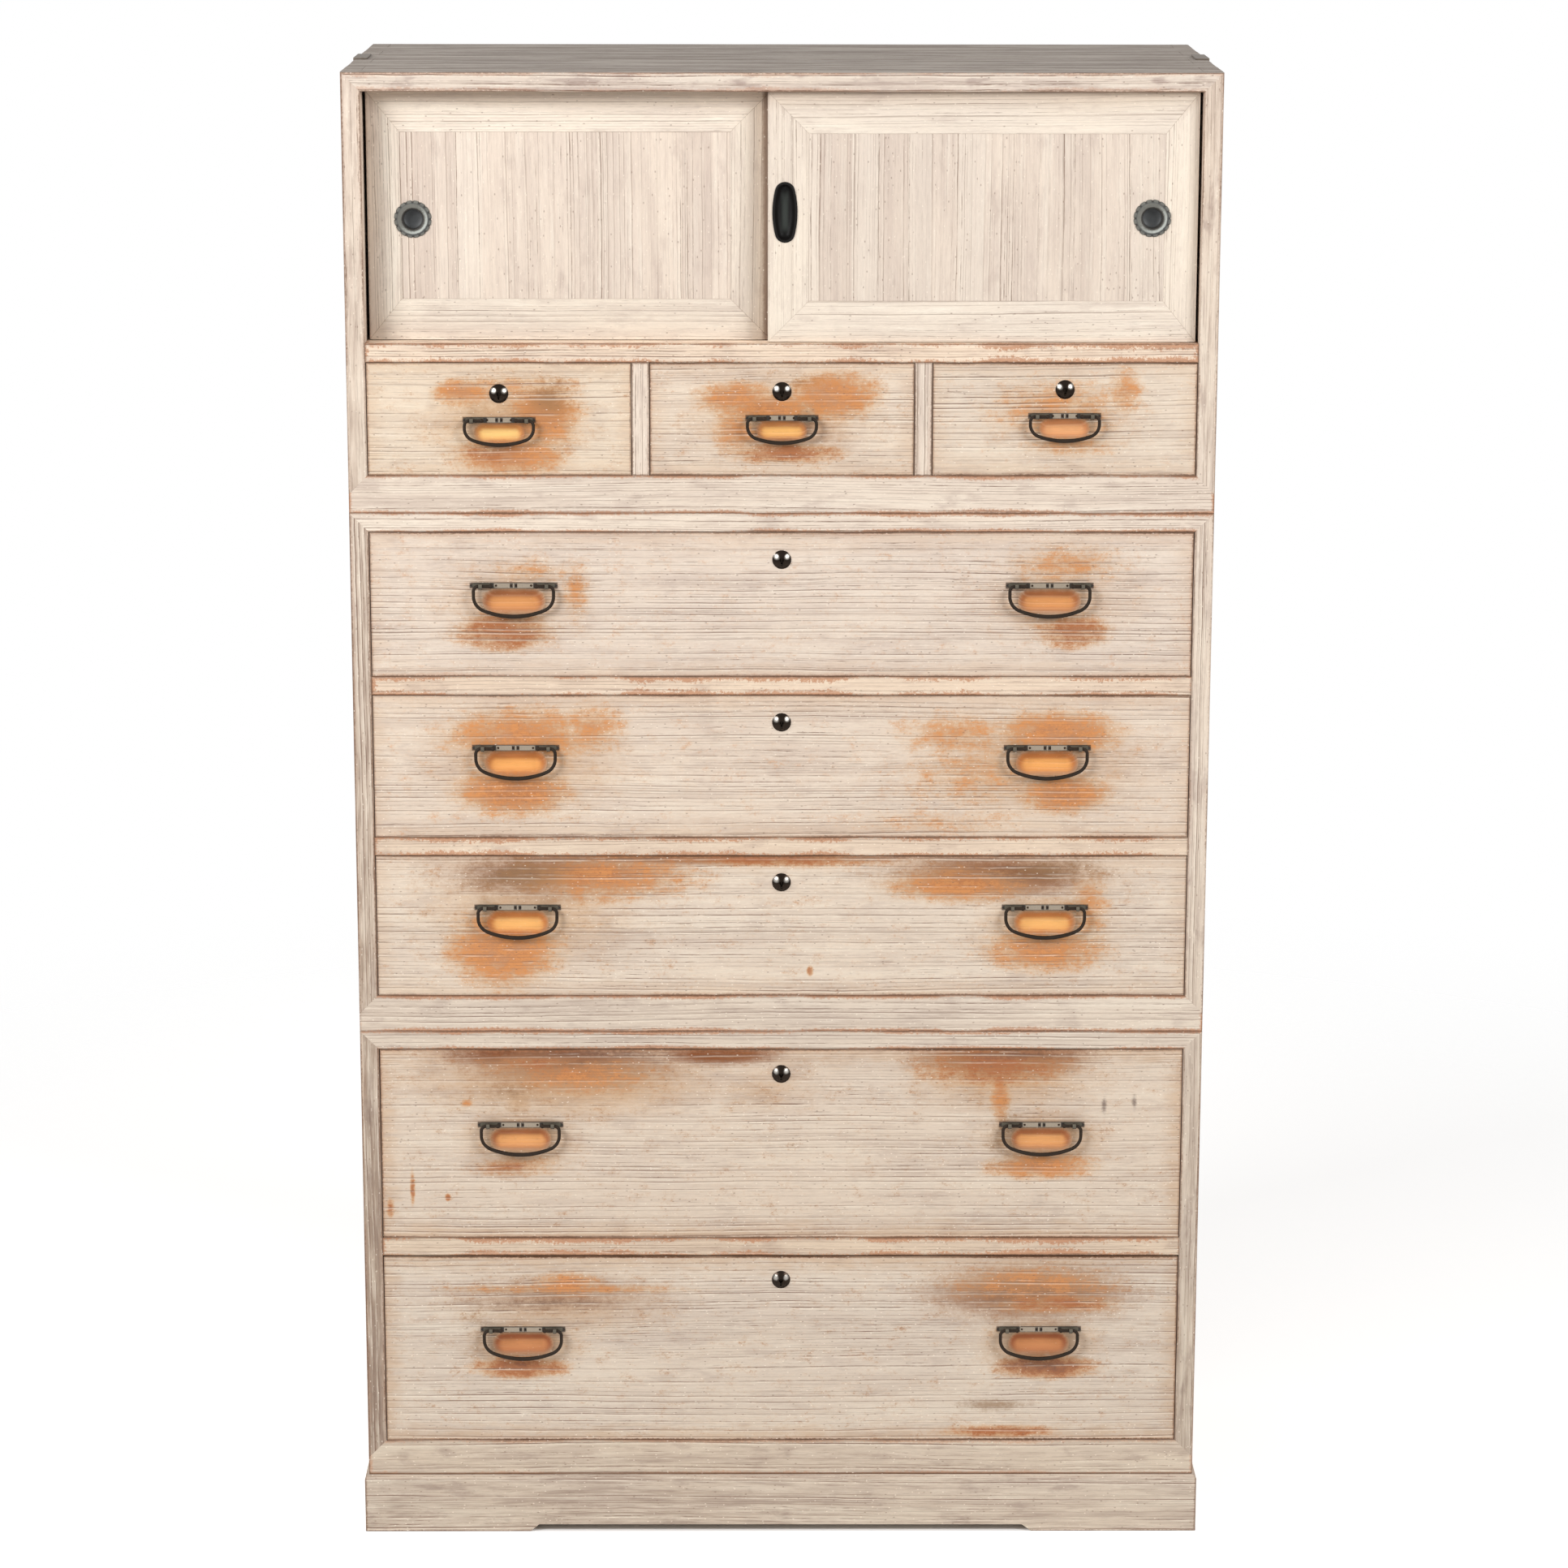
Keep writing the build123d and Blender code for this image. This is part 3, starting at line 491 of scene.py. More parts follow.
def grain_parts(nodes):
    """Along, across and depth of a board, in millimetres, and its ring coordinate.

    The ring coordinate is across plus depth, bent by slow and quick noise along the board."""
    scaled = nodes.node("VectorMath", {"operation": "SCALE"}, {0: nodes.attribute("grain"), "Scale": 1 / MM})
    along, across, depth = nodes.split(scaled)
    slow = nodes.noise(along * 0.0013, across * 0.005, depth * 0.005, 2.0)
    quick = nodes.noise(along * 0.018, across * 0.05, depth * 0.05, 2.0)
    ring = across + depth + (slow - 0.5) * 20.0 + (quick - 0.5) * 2.0
    return along, across, depth, ring


def grain_lines(nodes, ring, along, gap, width, offset=0.0):
    """Broken thin lines at irregular distances: a band around each random point along the ring coordinate."""
    settings = {"voronoi_dimensions": "1D", "feature": "F1"}
    inputs = {"W": (ring + offset) / gap, "Scale": 1.0, "Randomness": 1.0}
    distance, cell = nodes.node("TexVoronoi", settings, inputs, ("Distance", "Color"))
    own = nodes.split(cell)[0]
    band = nodes.rise(distance * gap, width, width * 0.15)
    broken = nodes.noise(along * 0.03, ring * 0.13, own * 9.0, 4.0, 0.7)
    return band * nodes.rise(broken + (own - 0.5) * 0.4, 0.38, 0.62)


def arris_distance(nodes):
    """Distance in millimetres to the nearest long edge of the board: the middle one of the three insets."""
    local = nodes.node("VectorMath", {"operation": "ABSOLUTE"}, {0: nodes.attribute("local")})
    inset = nodes.node("VectorMath", {"operation": "SUBTRACT"}, {0: nodes.attribute("half"), 1: local})
    scaled = nodes.node("VectorMath", {"operation": "SCALE"}, {0: inset, "Scale": 1 / MM})
    x, y, z = nodes.split(scaled)
    return (x & y) | ((x | y) & z)


def worn(nodes, place, marks, kinds):
    """How worn each point is: 1.5 in the middle of a mark, 0.5 on its ellipse and 0 half as far out again."""
    total = None
    for kind, x, z, half_x, half_z, strength in marks:
        if kind in kinds:
            inputs = {
                "Vector": place,
                "Location": (-x / (1.5 * half_x), 0, -z / (1.5 * half_z)),
                "Scale": (1 / (1.5 * half_x), 0, 1 / (1.5 * half_z)),
            }
            centred = nodes.node("Mapping", {}, inputs)
            spot = nodes.node("TexGradient", {"gradient_type": "SPHERICAL"}, {0: centred}, "Fac")
            spot = spot * (1.5 * strength)
            total = spot if total is None else total | spot
    return total


def washed_ground(nodes, look, soil, cloud, band, streak, smear):
    """The wash: greyer clouds, then grey bands, streaks and smears with paler ones beside them."""
    nodes.base = look.wash
    nodes.coat(nodes.rise(cloud, 0.36, 0.64) * 0.8, look.shade)
    for noise, low, high, amount, tone in (
        (band, 0.5, 0.66, 0.25 * soil, look.smudge),
        (band, 0.47, 0.32, 0.35, look.bright),
        (streak, 0.52, 0.75, 0.3 * soil, look.smudge),
        (streak, 0.45, 0.27, 0.4, look.bright),
        (smear, 0.54, 0.7, 0.35 * soil, look.smudge),
    ):
        nodes.coat(nodes.rise(noise, low, high) * amount, tone)


def darken_and_soil(nodes, look, x, z, streak, dirt):
    """The lower boards made darker towards the bottom, and dirt that changes with height in one way on the
    left and in another on the right."""
    darkening = ((DARKENING_TOP - z) / DARKENING_TOP) | 0.0
    nodes.coat(darkening * look.lower_share, look.lower_tone, "MULTIPLY")
    if dirt:
        west, east = darkening * 0.75 + 0.25, abs(darkening - 0.42) * 0.85 + 0.03
        soiled = (west + (east - west) * nodes.rise(x, -200.0, 300.0)) * dirt
        soiled = soiled * (0.6 + nodes.rise(streak, 0.35, 0.65) * 0.8)
        nodes.coat(soiled, look.dirt, "MULTIPLY")


def drawn_grain(nodes, look, ring, along, strength):
    """Pale, fine dark and strong dark grain lines over the wash. Gives where the strong ones are."""
    gap = look.line_gap / MM
    strong = grain_lines(nodes, ring, along, gap, 0.85)
    pale = grain_lines(nodes, ring, along, gap, 1.3, 1.5)
    fine = grain_lines(nodes, ring, along, gap * 0.45, 0.55, 31.0)
    nodes.coat(pale * 0.35 * strength, look.bright)
    nodes.coat(fine * 0.6 * strength, look.grain_line)
    nodes.coat(strong * 0.85 * strength, look.grain_line)
    return strong


def door_painted_shade(nodes, look, x, z, shade, streak, cloud, ragged):
    """Painted shade on a door, reaching in from the head of the opening and from the door's two shade lines,
    and a painted shadow band right beside the slit.
    """
    west, east = shade
    beside = (x - west) & (east - x)
    inset = beside & (CUPBOARD_HEAD - z)
    vague = nodes.rise(inset + (streak - 0.5) * 18.0 + (cloud - 0.5) * 16.0, 30.0, 0.0)
    nodes.coat(vague * 0.45, look.door_shade, "MULTIPLY")
    nodes.coat(nodes.rise(beside + (ragged - 0.5) * 4.0, 7.0, 1.0) * 0.75, look.dark_edge_and_shade)


def specks(nodes, look, along, across, depth, amount):
    """Dark and pale specks on random cells of two grids."""
    for long, wide, rare, tone in ((9.0, 5.0, 0.6, look.grain_line), (7.0, 4.0, 0.55, look.bright)):
        inputs = {"Vector": nodes.join(along / long, across / wide, depth / wide), "Scale": 1.0}
        speck, cell = nodes.node("TexVoronoi", {}, inputs, ("Distance", "Color"))
        chosen = nodes.rise(nodes.split(cell)[0], rare, rare + 0.1)
        nodes.coat(nodes.rise(speck, 0.2, 0.08) * chosen * amount * 0.5, tone)


def grey_top_face(nodes, look, x, y, z, streak, fibre):
    """The chest's upper surface drawn greyer and darker, in streaks along it."""
    top_streaks = nodes.noise(x * 0.004, y * 0.05, 2.0, 3.0, 0.6)
    top_streaks = nodes.rise(streak * 0.3 + fibre * 0.3 + top_streaks * 0.4, 0.4, 0.6)
    greyed = nodes.mix(top_streaks, look.top_bright, look.top_tone)
    nodes.coat(nodes.rise(z, TOP_FACE - 1.0, TOP_FACE - 0.2) * 0.95, greyed)


def washed_wood(
    name, look, lines=1.0, strips=0.0, fringe=0.3, edges=1.0, dirt=0.0, soil=1.0, border_darkening=0.0, foot_shadow=0.0,
    tone=None, shade=None, marks=(), scoops=(), plates=(),
):
    """Brushed and washed paulownia: broken dark grain lines with pale partners, soft bands and smudges,
    worn edges, and on a drawer front its worn places, torn up by grain and speckle, and orange hollows.
    foot_shadow is the height of the board below, above which a painted shadow runs, and shade holds the lines
    from which the painted shade on a door reaches in."""
    nodes = Nodes(name)
    along, across, depth, ring = grain_parts(nodes)
    place = nodes.place()
    x, y, z = nodes.split(place)
    own = nodes.split(nodes.attribute("tone"))

    cloud = nodes.noise(along * 0.006, across * 0.014, depth * 0.014, 3.0, 0.55)
    band = nodes.noise(along * 0.0035, ring * 0.055, own[1] * 9.0, 3.0, 0.6)
    streak = nodes.noise(along * 0.016, ring * 0.2, own[1] * 7.0, 3.0, 0.6)
    fibre = nodes.noise(along * 0.1, ring * 0.75, own[1] * 5.0, 4.0, 0.7)
    smear = nodes.noise(along * 0.02, across * 0.045, depth * 0.045, 4.0, 0.6)
    mottle = nodes.noise(x * 0.2, y * 0.2, z * 0.28, 5.0, 0.75)
    outline = nodes.noise(x * 0.04, y * 0.04, z * 0.06, 2.0, 0.5)
    ragged = nodes.noise(x * 0.22, y * 0.22, z * 0.22, 4.0, 0.75)
    stretch = nodes.noise(along * 0.009, own[0] * 9.0, own[1] * 3.0, 2.0, 0.6)

    washed_ground(nodes, look, soil, cloud, band, streak, smear)
    strength = look.line_strength * lines * (0.45 + nodes.rise(cloud, 0.3, 0.7) * 0.75)
    if strips:
        strength = strength * (0.5 + glued_strips(nodes, look, along, across, own, strips) * 0.9)
    if tone is not None:
        nodes.coat(1.0, tone, "MULTIPLY")
    darken_and_soil(nodes, look, x, z, streak, dirt)
    torn = (mottle - 0.5) * 2.0 + (outline - 0.5) * 1.4 + (fibre - 0.5) * 0.7
    worn_places(nodes, look, place, marks, torn, outline, mottle)

    arris = arris_distance(nodes)
    # Darker towards the edges of the board
    if border_darkening:
        near = nodes.rise(arris + (streak - 0.5) * 40.0 + (outline - 0.5) * 40.0, 26.0, -2.0)
        nodes.coat(near * (0.5 * border_darkening), look.halo, "MULTIPLY")
    chipped = ((ragged - 0.5) * 12.0 + (stretch - 0.5) * 14.0) * max(1.0, fringe)
    rubbed = nodes.rise(chipped - arris, -4.0, -0.5) * min(1.0, fringe)
    nodes.coat(rubbed * 0.8, look.edge_wear)
    cut = hollow_tone(nodes, x, z, scoops, fibre)
    strong = drawn_grain(nodes, look, ring, along, strength * cut)
    line = nodes.rise(arris + (ragged - 0.5) * 5.0, 2.4, 0.5) * (0.5 + nodes.rise(stretch, 0.4, 0.6) * 0.5)
    nodes.coat(line * look.edge_line * edges, look.dark_edge_and_shade)

    # Painted contact shadow round each strip plate, and dirt under it that shows through its holes
    for middle_x, middle_z, half_width in plates:
        beside = nodes.rise(abs(x - middle_x), half_width + 0.6, half_width - 0.6)
        under = nodes.rise(abs(z - middle_z), STRIP_HEIGHT / 2 + 0.9, STRIP_HEIGHT / 2 - 0.5)
        nodes.coat(beside * under * 0.85, look.plate_shadow_and_dirt)
    # Painted shadow along the bottom of the low rail, just above the plinth
    if foot_shadow:
        nodes.coat(nodes.rise(z, foot_shadow + 3.5, foot_shadow + 1.0) * 0.75, look.dark_edge_and_shade)
    # Painted shade on a door near the edges of its opening, and a painted shadow band beside the slit
    if shade is not None:
        door_painted_shade(nodes, look, x, z, shade, streak, cloud, ragged)
    specks(nodes, look, along, across, depth, cut)
    if not marks:
        grey_top_face(nodes, look, x, y, z, streak, fibre)
    nodes.brighten((0.965 + own[0] * 0.05) * (0.84 + fibre * 0.32))
    nodes.bump((fibre * 0.35 + streak * 0.25) - strong * 0.5, 0.35, 0.0006)
    return nodes.finish(Base_Color=nodes.base, Roughness=0.62 + fibre * 0.2, Specular_IOR_Level=0.3)


def glued_strips(nodes, look, along, across, own, amount):
    """Panel glued up from upright strips, each a little greyer or paler than the next. Gives how far each
    point is from the middle of its strip."""
    settings = {"voronoi_dimensions": "1D", "feature": "F1"}
    sway = nodes.noise(along * 0.004, 3.0, own[1] * 4.0, 1.0)
    inputs = {"W": (across + sway * 3.0) / STRIP_OF_PANEL, "Scale": 1.0, "Randomness": 0.8}
    distance, tone = nodes.node("TexVoronoi", settings, inputs, ("Distance", "Color"))
    cell = nodes.split(tone)
    nodes.coat(nodes.rise(cell[0], 0.4, 0.9) * amount, look.smudge)
    nodes.coat(nodes.rise(cell[1], 0.5, 0.95) * amount, look.bright)
    return nodes.rise(distance, 0.2, 0.5)


def worn_places(nodes, look, place, marks, torn, cloud, mottle):
    """Worn places of a drawer front: soft tan and brown stains, bare orange wood that is torn at its edge
    and has a dirty halo, and grey and dark smudges."""
    soft = worn(nodes, place, marks, "t")
    if soft is not None:
        nodes.coat(nodes.rise(soft + torn * 0.3, 0.0, 1.2) * 0.85, look.halo, "MULTIPLY")
    brown = worn(nodes, place, marks, "b")
    if brown is not None:
        nodes.coat(nodes.rise(brown + torn * 0.3, 0.0, 1.05), look.brown_stain, "MULTIPLY")
    halo = worn(nodes, place, marks, "or")
    if halo is not None:
        dirt = nodes.rise(halo + torn * 0.35, -0.05, 0.75)
        nodes.coat(dirt * 0.5, look.tan)
        nodes.coat(dirt * 0.7, look.halo, "MULTIPLY")
        patchy = 0.6 + nodes.rise(cloud * 0.5 + mottle * 0.5, 0.42, 0.58) * 0.4
        bare = nodes.rise(halo * look.wear_amount + torn * 0.85, 0.15, 1.05) * patchy
        skin = nodes.rise(cloud + (mottle - 0.5) * 1.6, 0.3, 0.7)
        skin = nodes.mix(skin, look.wear, look.bright_wear)
        red = worn(nodes, place, marks, "r")
        if red is not None:
            skin = nodes.mix(nodes.rise(red + torn * 0.3, 0.0, 0.8) * 0.8, skin, look.deep_wear)
        nodes.coat(bare * 0.95, skin)
    for kind, stain in (("s", look.grey_mark), ("p", look.dark_mark)):
        mark = worn(nodes, place, marks, kind)
        if mark is not None:
            nodes.coat(nodes.rise(mark + torn * 0.7, 0.1, 1.1) * 0.7, stain)


def hollow_tone(nodes, x, z, scoops, fibre):
    """Orange bare wood in the carved hollows, fading out towards their rims, inside a darker ring of painted
    shade and dirt. Within, it is darker towards the rim and the top as painted shade and paler low in the
    middle as painted light. Gives how little each point lies in one (1 outside)."""
    outside = 1.0
    for middle_x, middle_z, width, height, edge, glow in scoops:
        beside = (abs(x - middle_x) - (width - height) / 2) | 0.0
        above = z - middle_z
        reach = (beside * beside + above * above) ** 0.5 / (height / 2)
        torn = reach + (fibre - 0.5) * 0.4
        # Darker ring round the hollow's rim: painted shade with some dirt
        nodes.coat(nodes.rise(torn, 1.3, 0.85) * 0.6, colour(*HOLLOW_RIM_SHADE_AND_DIRT), "MULTIPLY")
        # Bare orange wood, darker towards the rim and the top as painted shade, paler low in the middle as
        # painted light
        rosy = nodes.mix(nodes.rise(torn + above * 0.03, 0.7, 0.1), edge, glow)
        nodes.coat(nodes.rise(torn, 1.0, 0.6) * 0.95, rosy)
        outside = outside * (1.0 - nodes.rise(reach, 1.1, 0.9) * 0.8)
    return outside


def plain_wood(name, tone):
    """Unwashed wood inside the chest: soft darker growth lines on a plain ground, and dark seams."""
    nodes = Nodes(name)
    along, across, depth, ring = grain_parts(nodes)
    own = nodes.split(nodes.attribute("tone"))
    lines = grain_lines(nodes, ring, along, 9.0, 1.6)
    fibre = nodes.noise(along * 0.04, ring * 0.9, own[1] * 5.0, 3.0, 0.6)
    cloud = nodes.noise(along * 0.004, across * 0.02, depth * 0.02, 3.0)
    nodes.base = tone
    nodes.coat(nodes.rise(cloud, 0.3, 0.7) * 0.5, colour(*INNER_SHADE))
    nodes.coat(lines * 0.5, colour(*INNER_LINE))
    nodes.coat(nodes.rise(arris_distance(nodes), 1.6, 0.3) * 0.7, colour(*INNER_SEAM))
    nodes.brighten((0.95 + own[0] * 0.08) * (0.94 + fibre * 0.12))
    nodes.bump(fibre * 0.5 - lines * 0.3, 0.3, 0.0005)
    return nodes.finish(Base_Color=nodes.base, Roughness=0.7 + fibre * 0.15, Specular_IOR_Level=0.3)


def rubbed_plate(nodes, look, across, up, pits, rubbed, middle):
    """Rubbed middle of a strip plate, a dark line round its edge, and its dark pins and ends."""
    bright = nodes.rise(abs(across) + (pits - 0.5) * 5.0, middle + 1.5, middle - 1.5)
    nodes.coat(bright * 0.9, nodes.mix(pits, rubbed, [part * 0.75 for part in rubbed]))
    half = nodes.split(nodes.attribute("half"))
    inset = (half[0] / MM - abs(across)) & (half[2] / MM - abs(up))
    nodes.coat(nodes.rise(inset + (pits - 0.5) * 0.6, 0.9, 0.3) * 0.75, look.rim)
    pair = nodes.rise(abs(abs(across) - 2.6), 2.1, 1.4)
    pin = nodes.rise(abs(abs(across) - middle - 2.0), 2.6, 1.6)
    end = nodes.rise(half[0] / MM - abs(across), 4.0, 2.4)
    low = nodes.rise(abs(up), STRIP_HEIGHT / 2 - 0.2, STRIP_HEIGHT / 2 - 1.2)
    nodes.coat((pair | pin | end) * low * 0.9, look.rim)


def ringed_cup(nodes, look, across, up, pits, bands):
    """Dark notches in the flange of a round cup, and bands of tone round its centre: inner and outer
    radius, tone, and how even it is. What isn't even shows most at the lower right."""
    reach = (across * across + up * up) ** 0.5 + (pits - 0.5) * 1.5
    turn = nodes.node("Math", {"operation": "ARCTAN2"}, {0: up, 1: across})
    teeth = nodes.node("Math", {"operation": "COSINE"}, {0: turn * float(PULL_NOTCHES)})
    notched = nodes.rise(teeth + (pits - 0.5) * 2.0, 0.0, 0.8) * nodes.rise(reach, *NOTCH_BAND)
    nodes.coat(notched * 0.75, look.rim)
    patchy = nodes.rise(across - up + (pits - 0.5) * 40.0, -14.0, 26.0)
    for inner, outer, tone, even in bands:
        ring = nodes.rise(reach, inner - 0.4, inner + 0.4) * nodes.rise(reach, outer + 0.4, outer - 0.4)
        nodes.coat(ring * (patchy * (0.9 * (1.0 - even)) + 0.9 * even), tone)


def iron(
    name, tone, roughness=0.42, metal=0.55, rust_share=0.3, gloss=0.5,
    rubbed=None, middle=0.0, sheen=None, bands=(), stripe_highlight=None,
):
    """Blackened iron: fine forge pits, cloudy gloss and a little rust. rubbed is the tone within middle
    millimetres of the piece's own centre along X. sheen is the tone of two painted highlights on the
    shoulders of a dome, bands are rings of tone round a cup's centre, and stripe_highlight is the tone of a
    painted highlight down the piece's upright middle."""
    look = bpy.context.scene.chest_iron
    nodes = Nodes(name)
    x, y, z = nodes.split(nodes.place())
    pits = nodes.noise(x * 0.55, y * 0.55, z * 0.55, 4.0, 0.6)
    cloud = nodes.noise(x * 0.09, y * 0.09, z * 0.09, 3.0, 0.5)
    nodes.base = tone
    nodes.coat(nodes.rise(cloud, 0.35, 0.65) * 0.35, [part * 1.6 for part in tone])
    local = nodes.split(nodes.attribute("local"))
    across, up = local[0] / MM, local[2] / MM
    if rubbed is not None:
        rubbed_plate(nodes, look, across, up, pits, rubbed, middle)
    if bands:
        ringed_cup(nodes, look, across, up, pits, bands)
    # Painted highlight down the piece's upright middle
    if stripe_highlight is not None:
        nodes.coat(nodes.rise(abs(across), 6.0, 1.0) * nodes.rise(abs(up), 27.0, 16.0), stripe_highlight)
    # Two painted highlights on the shoulders of a dome
    if sheen is not None:
        aside, above = abs(across) - DOME_HIGHLIGHT_SPOT[0], up - DOME_HIGHLIGHT_SPOT[1]
        spot = (aside * aside + above * above) ** 0.5 + (cloud - 0.5) * 3.0
        nodes.coat(nodes.rise(spot, 4.2, 0.6), sheen)
    nodes.coat(nodes.rise(pits, 0.58, 0.72) * rust_share, look.rust)
    nodes.bump(pits, 0.25, 0.0004)
    rough = roughness - 0.1 + cloud * 0.25
    return nodes.finish(Base_Color=nodes.base, Metallic=metal, Roughness=rough, Specular_IOR_Level=gloss)


# ---- Pieces ----
class Shape:
    """Points and faces of one closed surface, its pattern attributes and its material's number."""

    def __init__(self, points, faces, smooth, material=0):
        self.points = np.asarray(points, dtype=float)
        self.faces = faces
        self.smooth = smooth
        self.material = material
        low, high = self.points.min(axis=0), self.points.max(axis=0)
        self.values = {
            "grain": self.points,
            "local": self.points - (low + high) / 2,
            "half": np.broadcast_to((high - low) / 2, self.points.shape),
            "tone": np.zeros_like(self.points),
        }

    def lay_grain(self, random, along=None):
        """Grain coordinates of a board: its longest side, then its width, then its thickness, with an
        offset of its own so that no two boards repeat."""
        low, high = self.points.min(axis=0), self.points.max(axis=0)
        order = np.argsort(low - high)
        if along is not None:
            order = np.array([along] + [axis for axis in order if axis != along])
        centred = self.points - (low + high) / 2
        self.values["grain"] = centred[:, order] + random.uniform(2, 40, 3)
        self.values["tone"] = np.broadcast_to(random.random(3), self.points.shape)


def seeded(name):
    """Random numbers that are the same each time for a name."""
    return np.random.default_rng(zlib.crc32(name.encode()))


def make_piece(name, shapes, materials, body, nodes):
    """One mesh from several shapes, riding on a body in place of the CAD nodes."""
    mesh = bpy.data.meshes.new(name)
    points = np.concatenate([shape.points for shape in shapes])
    faces, smooth, numbers = [], [], []
    start = 0
    for shape in shapes:
        faces += [[start + corner for corner in face] for face in shape.faces]
        smooth += list(shape.smooth)
        numbers += [shape.material] * len(shape.faces)
        start += len(shape.points)
    mesh.from_pydata(points.tolist(), [], faces)
    mesh.polygons.foreach_set("use_smooth", smooth)
    mesh.polygons.foreach_set("material_index", numbers)
    for key in shapes[0].values:
        layer = mesh.attributes.new(key, "FLOAT_VECTOR", "POINT")
        layer.data.foreach_set("vector", np.concatenate([shape.values[key] for shape in shapes]).ravel())
    for material in materials:
        mesh.materials.append(material)
    shell = bmesh.new()
    shell.from_mesh(mesh)
    bmesh.ops.recalc_face_normals(shell, faces=shell.faces)
    for edge in shell.edges:
        if len(edge.link_faces) == 2 and edge.calc_face_angle() > math.radians(CREASE_ANGLE):
            edge.smooth = False
    shell.to_mesh(mesh)
    shell.free()
    mesh.update()
    piece = bpy.data.objects.new(name, mesh)
    bpy.context.scene.collection.objects.link(piece)
    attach(piece, body)
    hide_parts(*nodes)
    return piece


def solids_of(node):
    """Splits a CAD node's triangles into its closed solids. Each edge carries a random weight, plus one
    way round and minus the other, so the running sum comes back to zero where a solid closes."""
    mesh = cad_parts[node].data
    points = np.empty(len(mesh.vertices) * 3)
    mesh.vertices.foreach_get("co", points)
    points = points.reshape(-1, 3)
    corners = np.empty(len(mesh.loops), dtype=np.int64)
    mesh.loops.foreach_get("vertex_index", corners)
    _, first, joined = np.unique(np.round(points / WELD), axis=0, return_index=True, return_inverse=True)
    triangles = joined.reshape(-1)[corners].reshape(-1, 3)
    pairs = np.stack([triangles, np.roll(triangles, -1, axis=1)], axis=2)
    _, edges = np.unique(np.sort(pairs, axis=2).reshape(-1, 2), axis=0, return_inverse=True)
    weights = np.random.default_rng(1).integers(1, RNG_SPAN, edges.max() + 1)
    signs = np.where(pairs[..., 0] < pairs[..., 1], 1, -1)
    balance = np.cumsum((weights[edges.reshape(-1)].reshape(-1, 3) * signs).sum(axis=1))
    ends = np.flatnonzero(balance == 0) + 1
    return [(points[first], part) for part in np.split(triangles, ends[:-1])]


def lies_square(edge):
    """Whether an edge runs along X, Y or Z."""
    run = edge.verts[0].co - edge.verts[1].co
    return max(abs(part) for part in run) > 0.999 * edge.calc_length()


def soft_solid(points, triangles, softness, shortest, small_face=SMALL_FACE, mitres=False):
    """Copy of one CAD solid with its flat faces joined and its long sharp edges rounded. Edges askew, such
    as those of a mitre, are rounded only where mitres is set."""
    used, triangles = np.unique(triangles, return_inverse=True)
    solid = bmesh.new()
    places = [solid.verts.new(point) for point in points[used]]
    for a, b, c in triangles.reshape(-1, 3):
        if len({a, b, c}) == 3:
            try:
                solid.faces.new((places[a], places[b], places[c]))
            except ValueError:
                continue
    bmesh.ops.dissolve_degenerate(solid, dist=WELD, edges=solid.edges)
    flat = math.radians(FLAT_ANGLE)
    bmesh.ops.dissolve_limit(
        solid, angle_limit=flat, verts=solid.verts, edges=solid.edges, delimit={"NORMAL"}
    )
    sharp = [
        edge
        for edge in solid.edges
        if len(edge.link_faces) == 2
        and edge.calc_length() > shortest
        and edge.calc_face_angle() > math.radians(SHARP_ANGLE)
        and (mitres or lies_square(edge))
    ]
    if softness and sharp:
        bmesh.ops.bevel(
            solid, geom=sharp, offset=softness, offset_type="OFFSET", segments=2, profile=0.5, affect="EDGES",
            clamp_overlap=True,
        )
    solid.verts.index_update()
    coordinates = [tuple(vertex.co) for vertex in solid.verts]
    faces = [[vertex.index for vertex in face.verts] for face in solid.faces]
    smooth = [face.calc_area() < small_face for face in solid.faces]
    solid.free()
    return Shape(coordinates, faces, smooth)


def wood_piece(node, body, material, softness, along=None, mitres=False):
    """Softened copy of a wooden CAD node, with its grain laid board by board."""
    random = seeded(node)
    shapes = []
    for points, triangles in solids_of(node):
        shape = soft_solid(points, triangles, softness, LEAST_WOOD_EDGE, mitres=mitres)
        shape.lay_grain(random, along)
        shapes.append(shape)
    return make_piece(f"{node}_wood", shapes, [material], body, [node])


def grid_faces(rows, columns, closed=True):
    """Faces of a grid whose rows are closed rings, with a fan between the first ring and the point after
    the grid and, where closed is set, one between the last ring and the next point."""
    row, column = np.meshgrid(np.arange(rows - 1), np.arange(columns), indexing="ij")
    here, beside = row * columns + column, row * columns + (column + 1) % columns
    faces = np.stack([here, beside, beside + columns, here + columns], axis=-1).reshape(-1, 4).tolist()
    ring = np.arange(columns)
    after = (ring + 1) % columns
    pole = np.full(columns, rows * columns)
    faces += np.stack([pole, after, ring], axis=1).tolist()
    if closed:
        last = (rows - 1) * columns
        faces += np.stack([pole + 1, last + ring, last + after], axis=1).tolist()
    return faces


def closed_surface(rings, first_pole, last_pole, material=0):
    """Shape from an array of rings (rows, columns, 3) and the two points that close its ends."""
    points = np.concatenate([rings.reshape(-1, 3), [first_pole], [last_pole]])
    faces = grid_faces(*rings.shape[:2])
    return Shape(points, faces, [True] * len(faces), material)


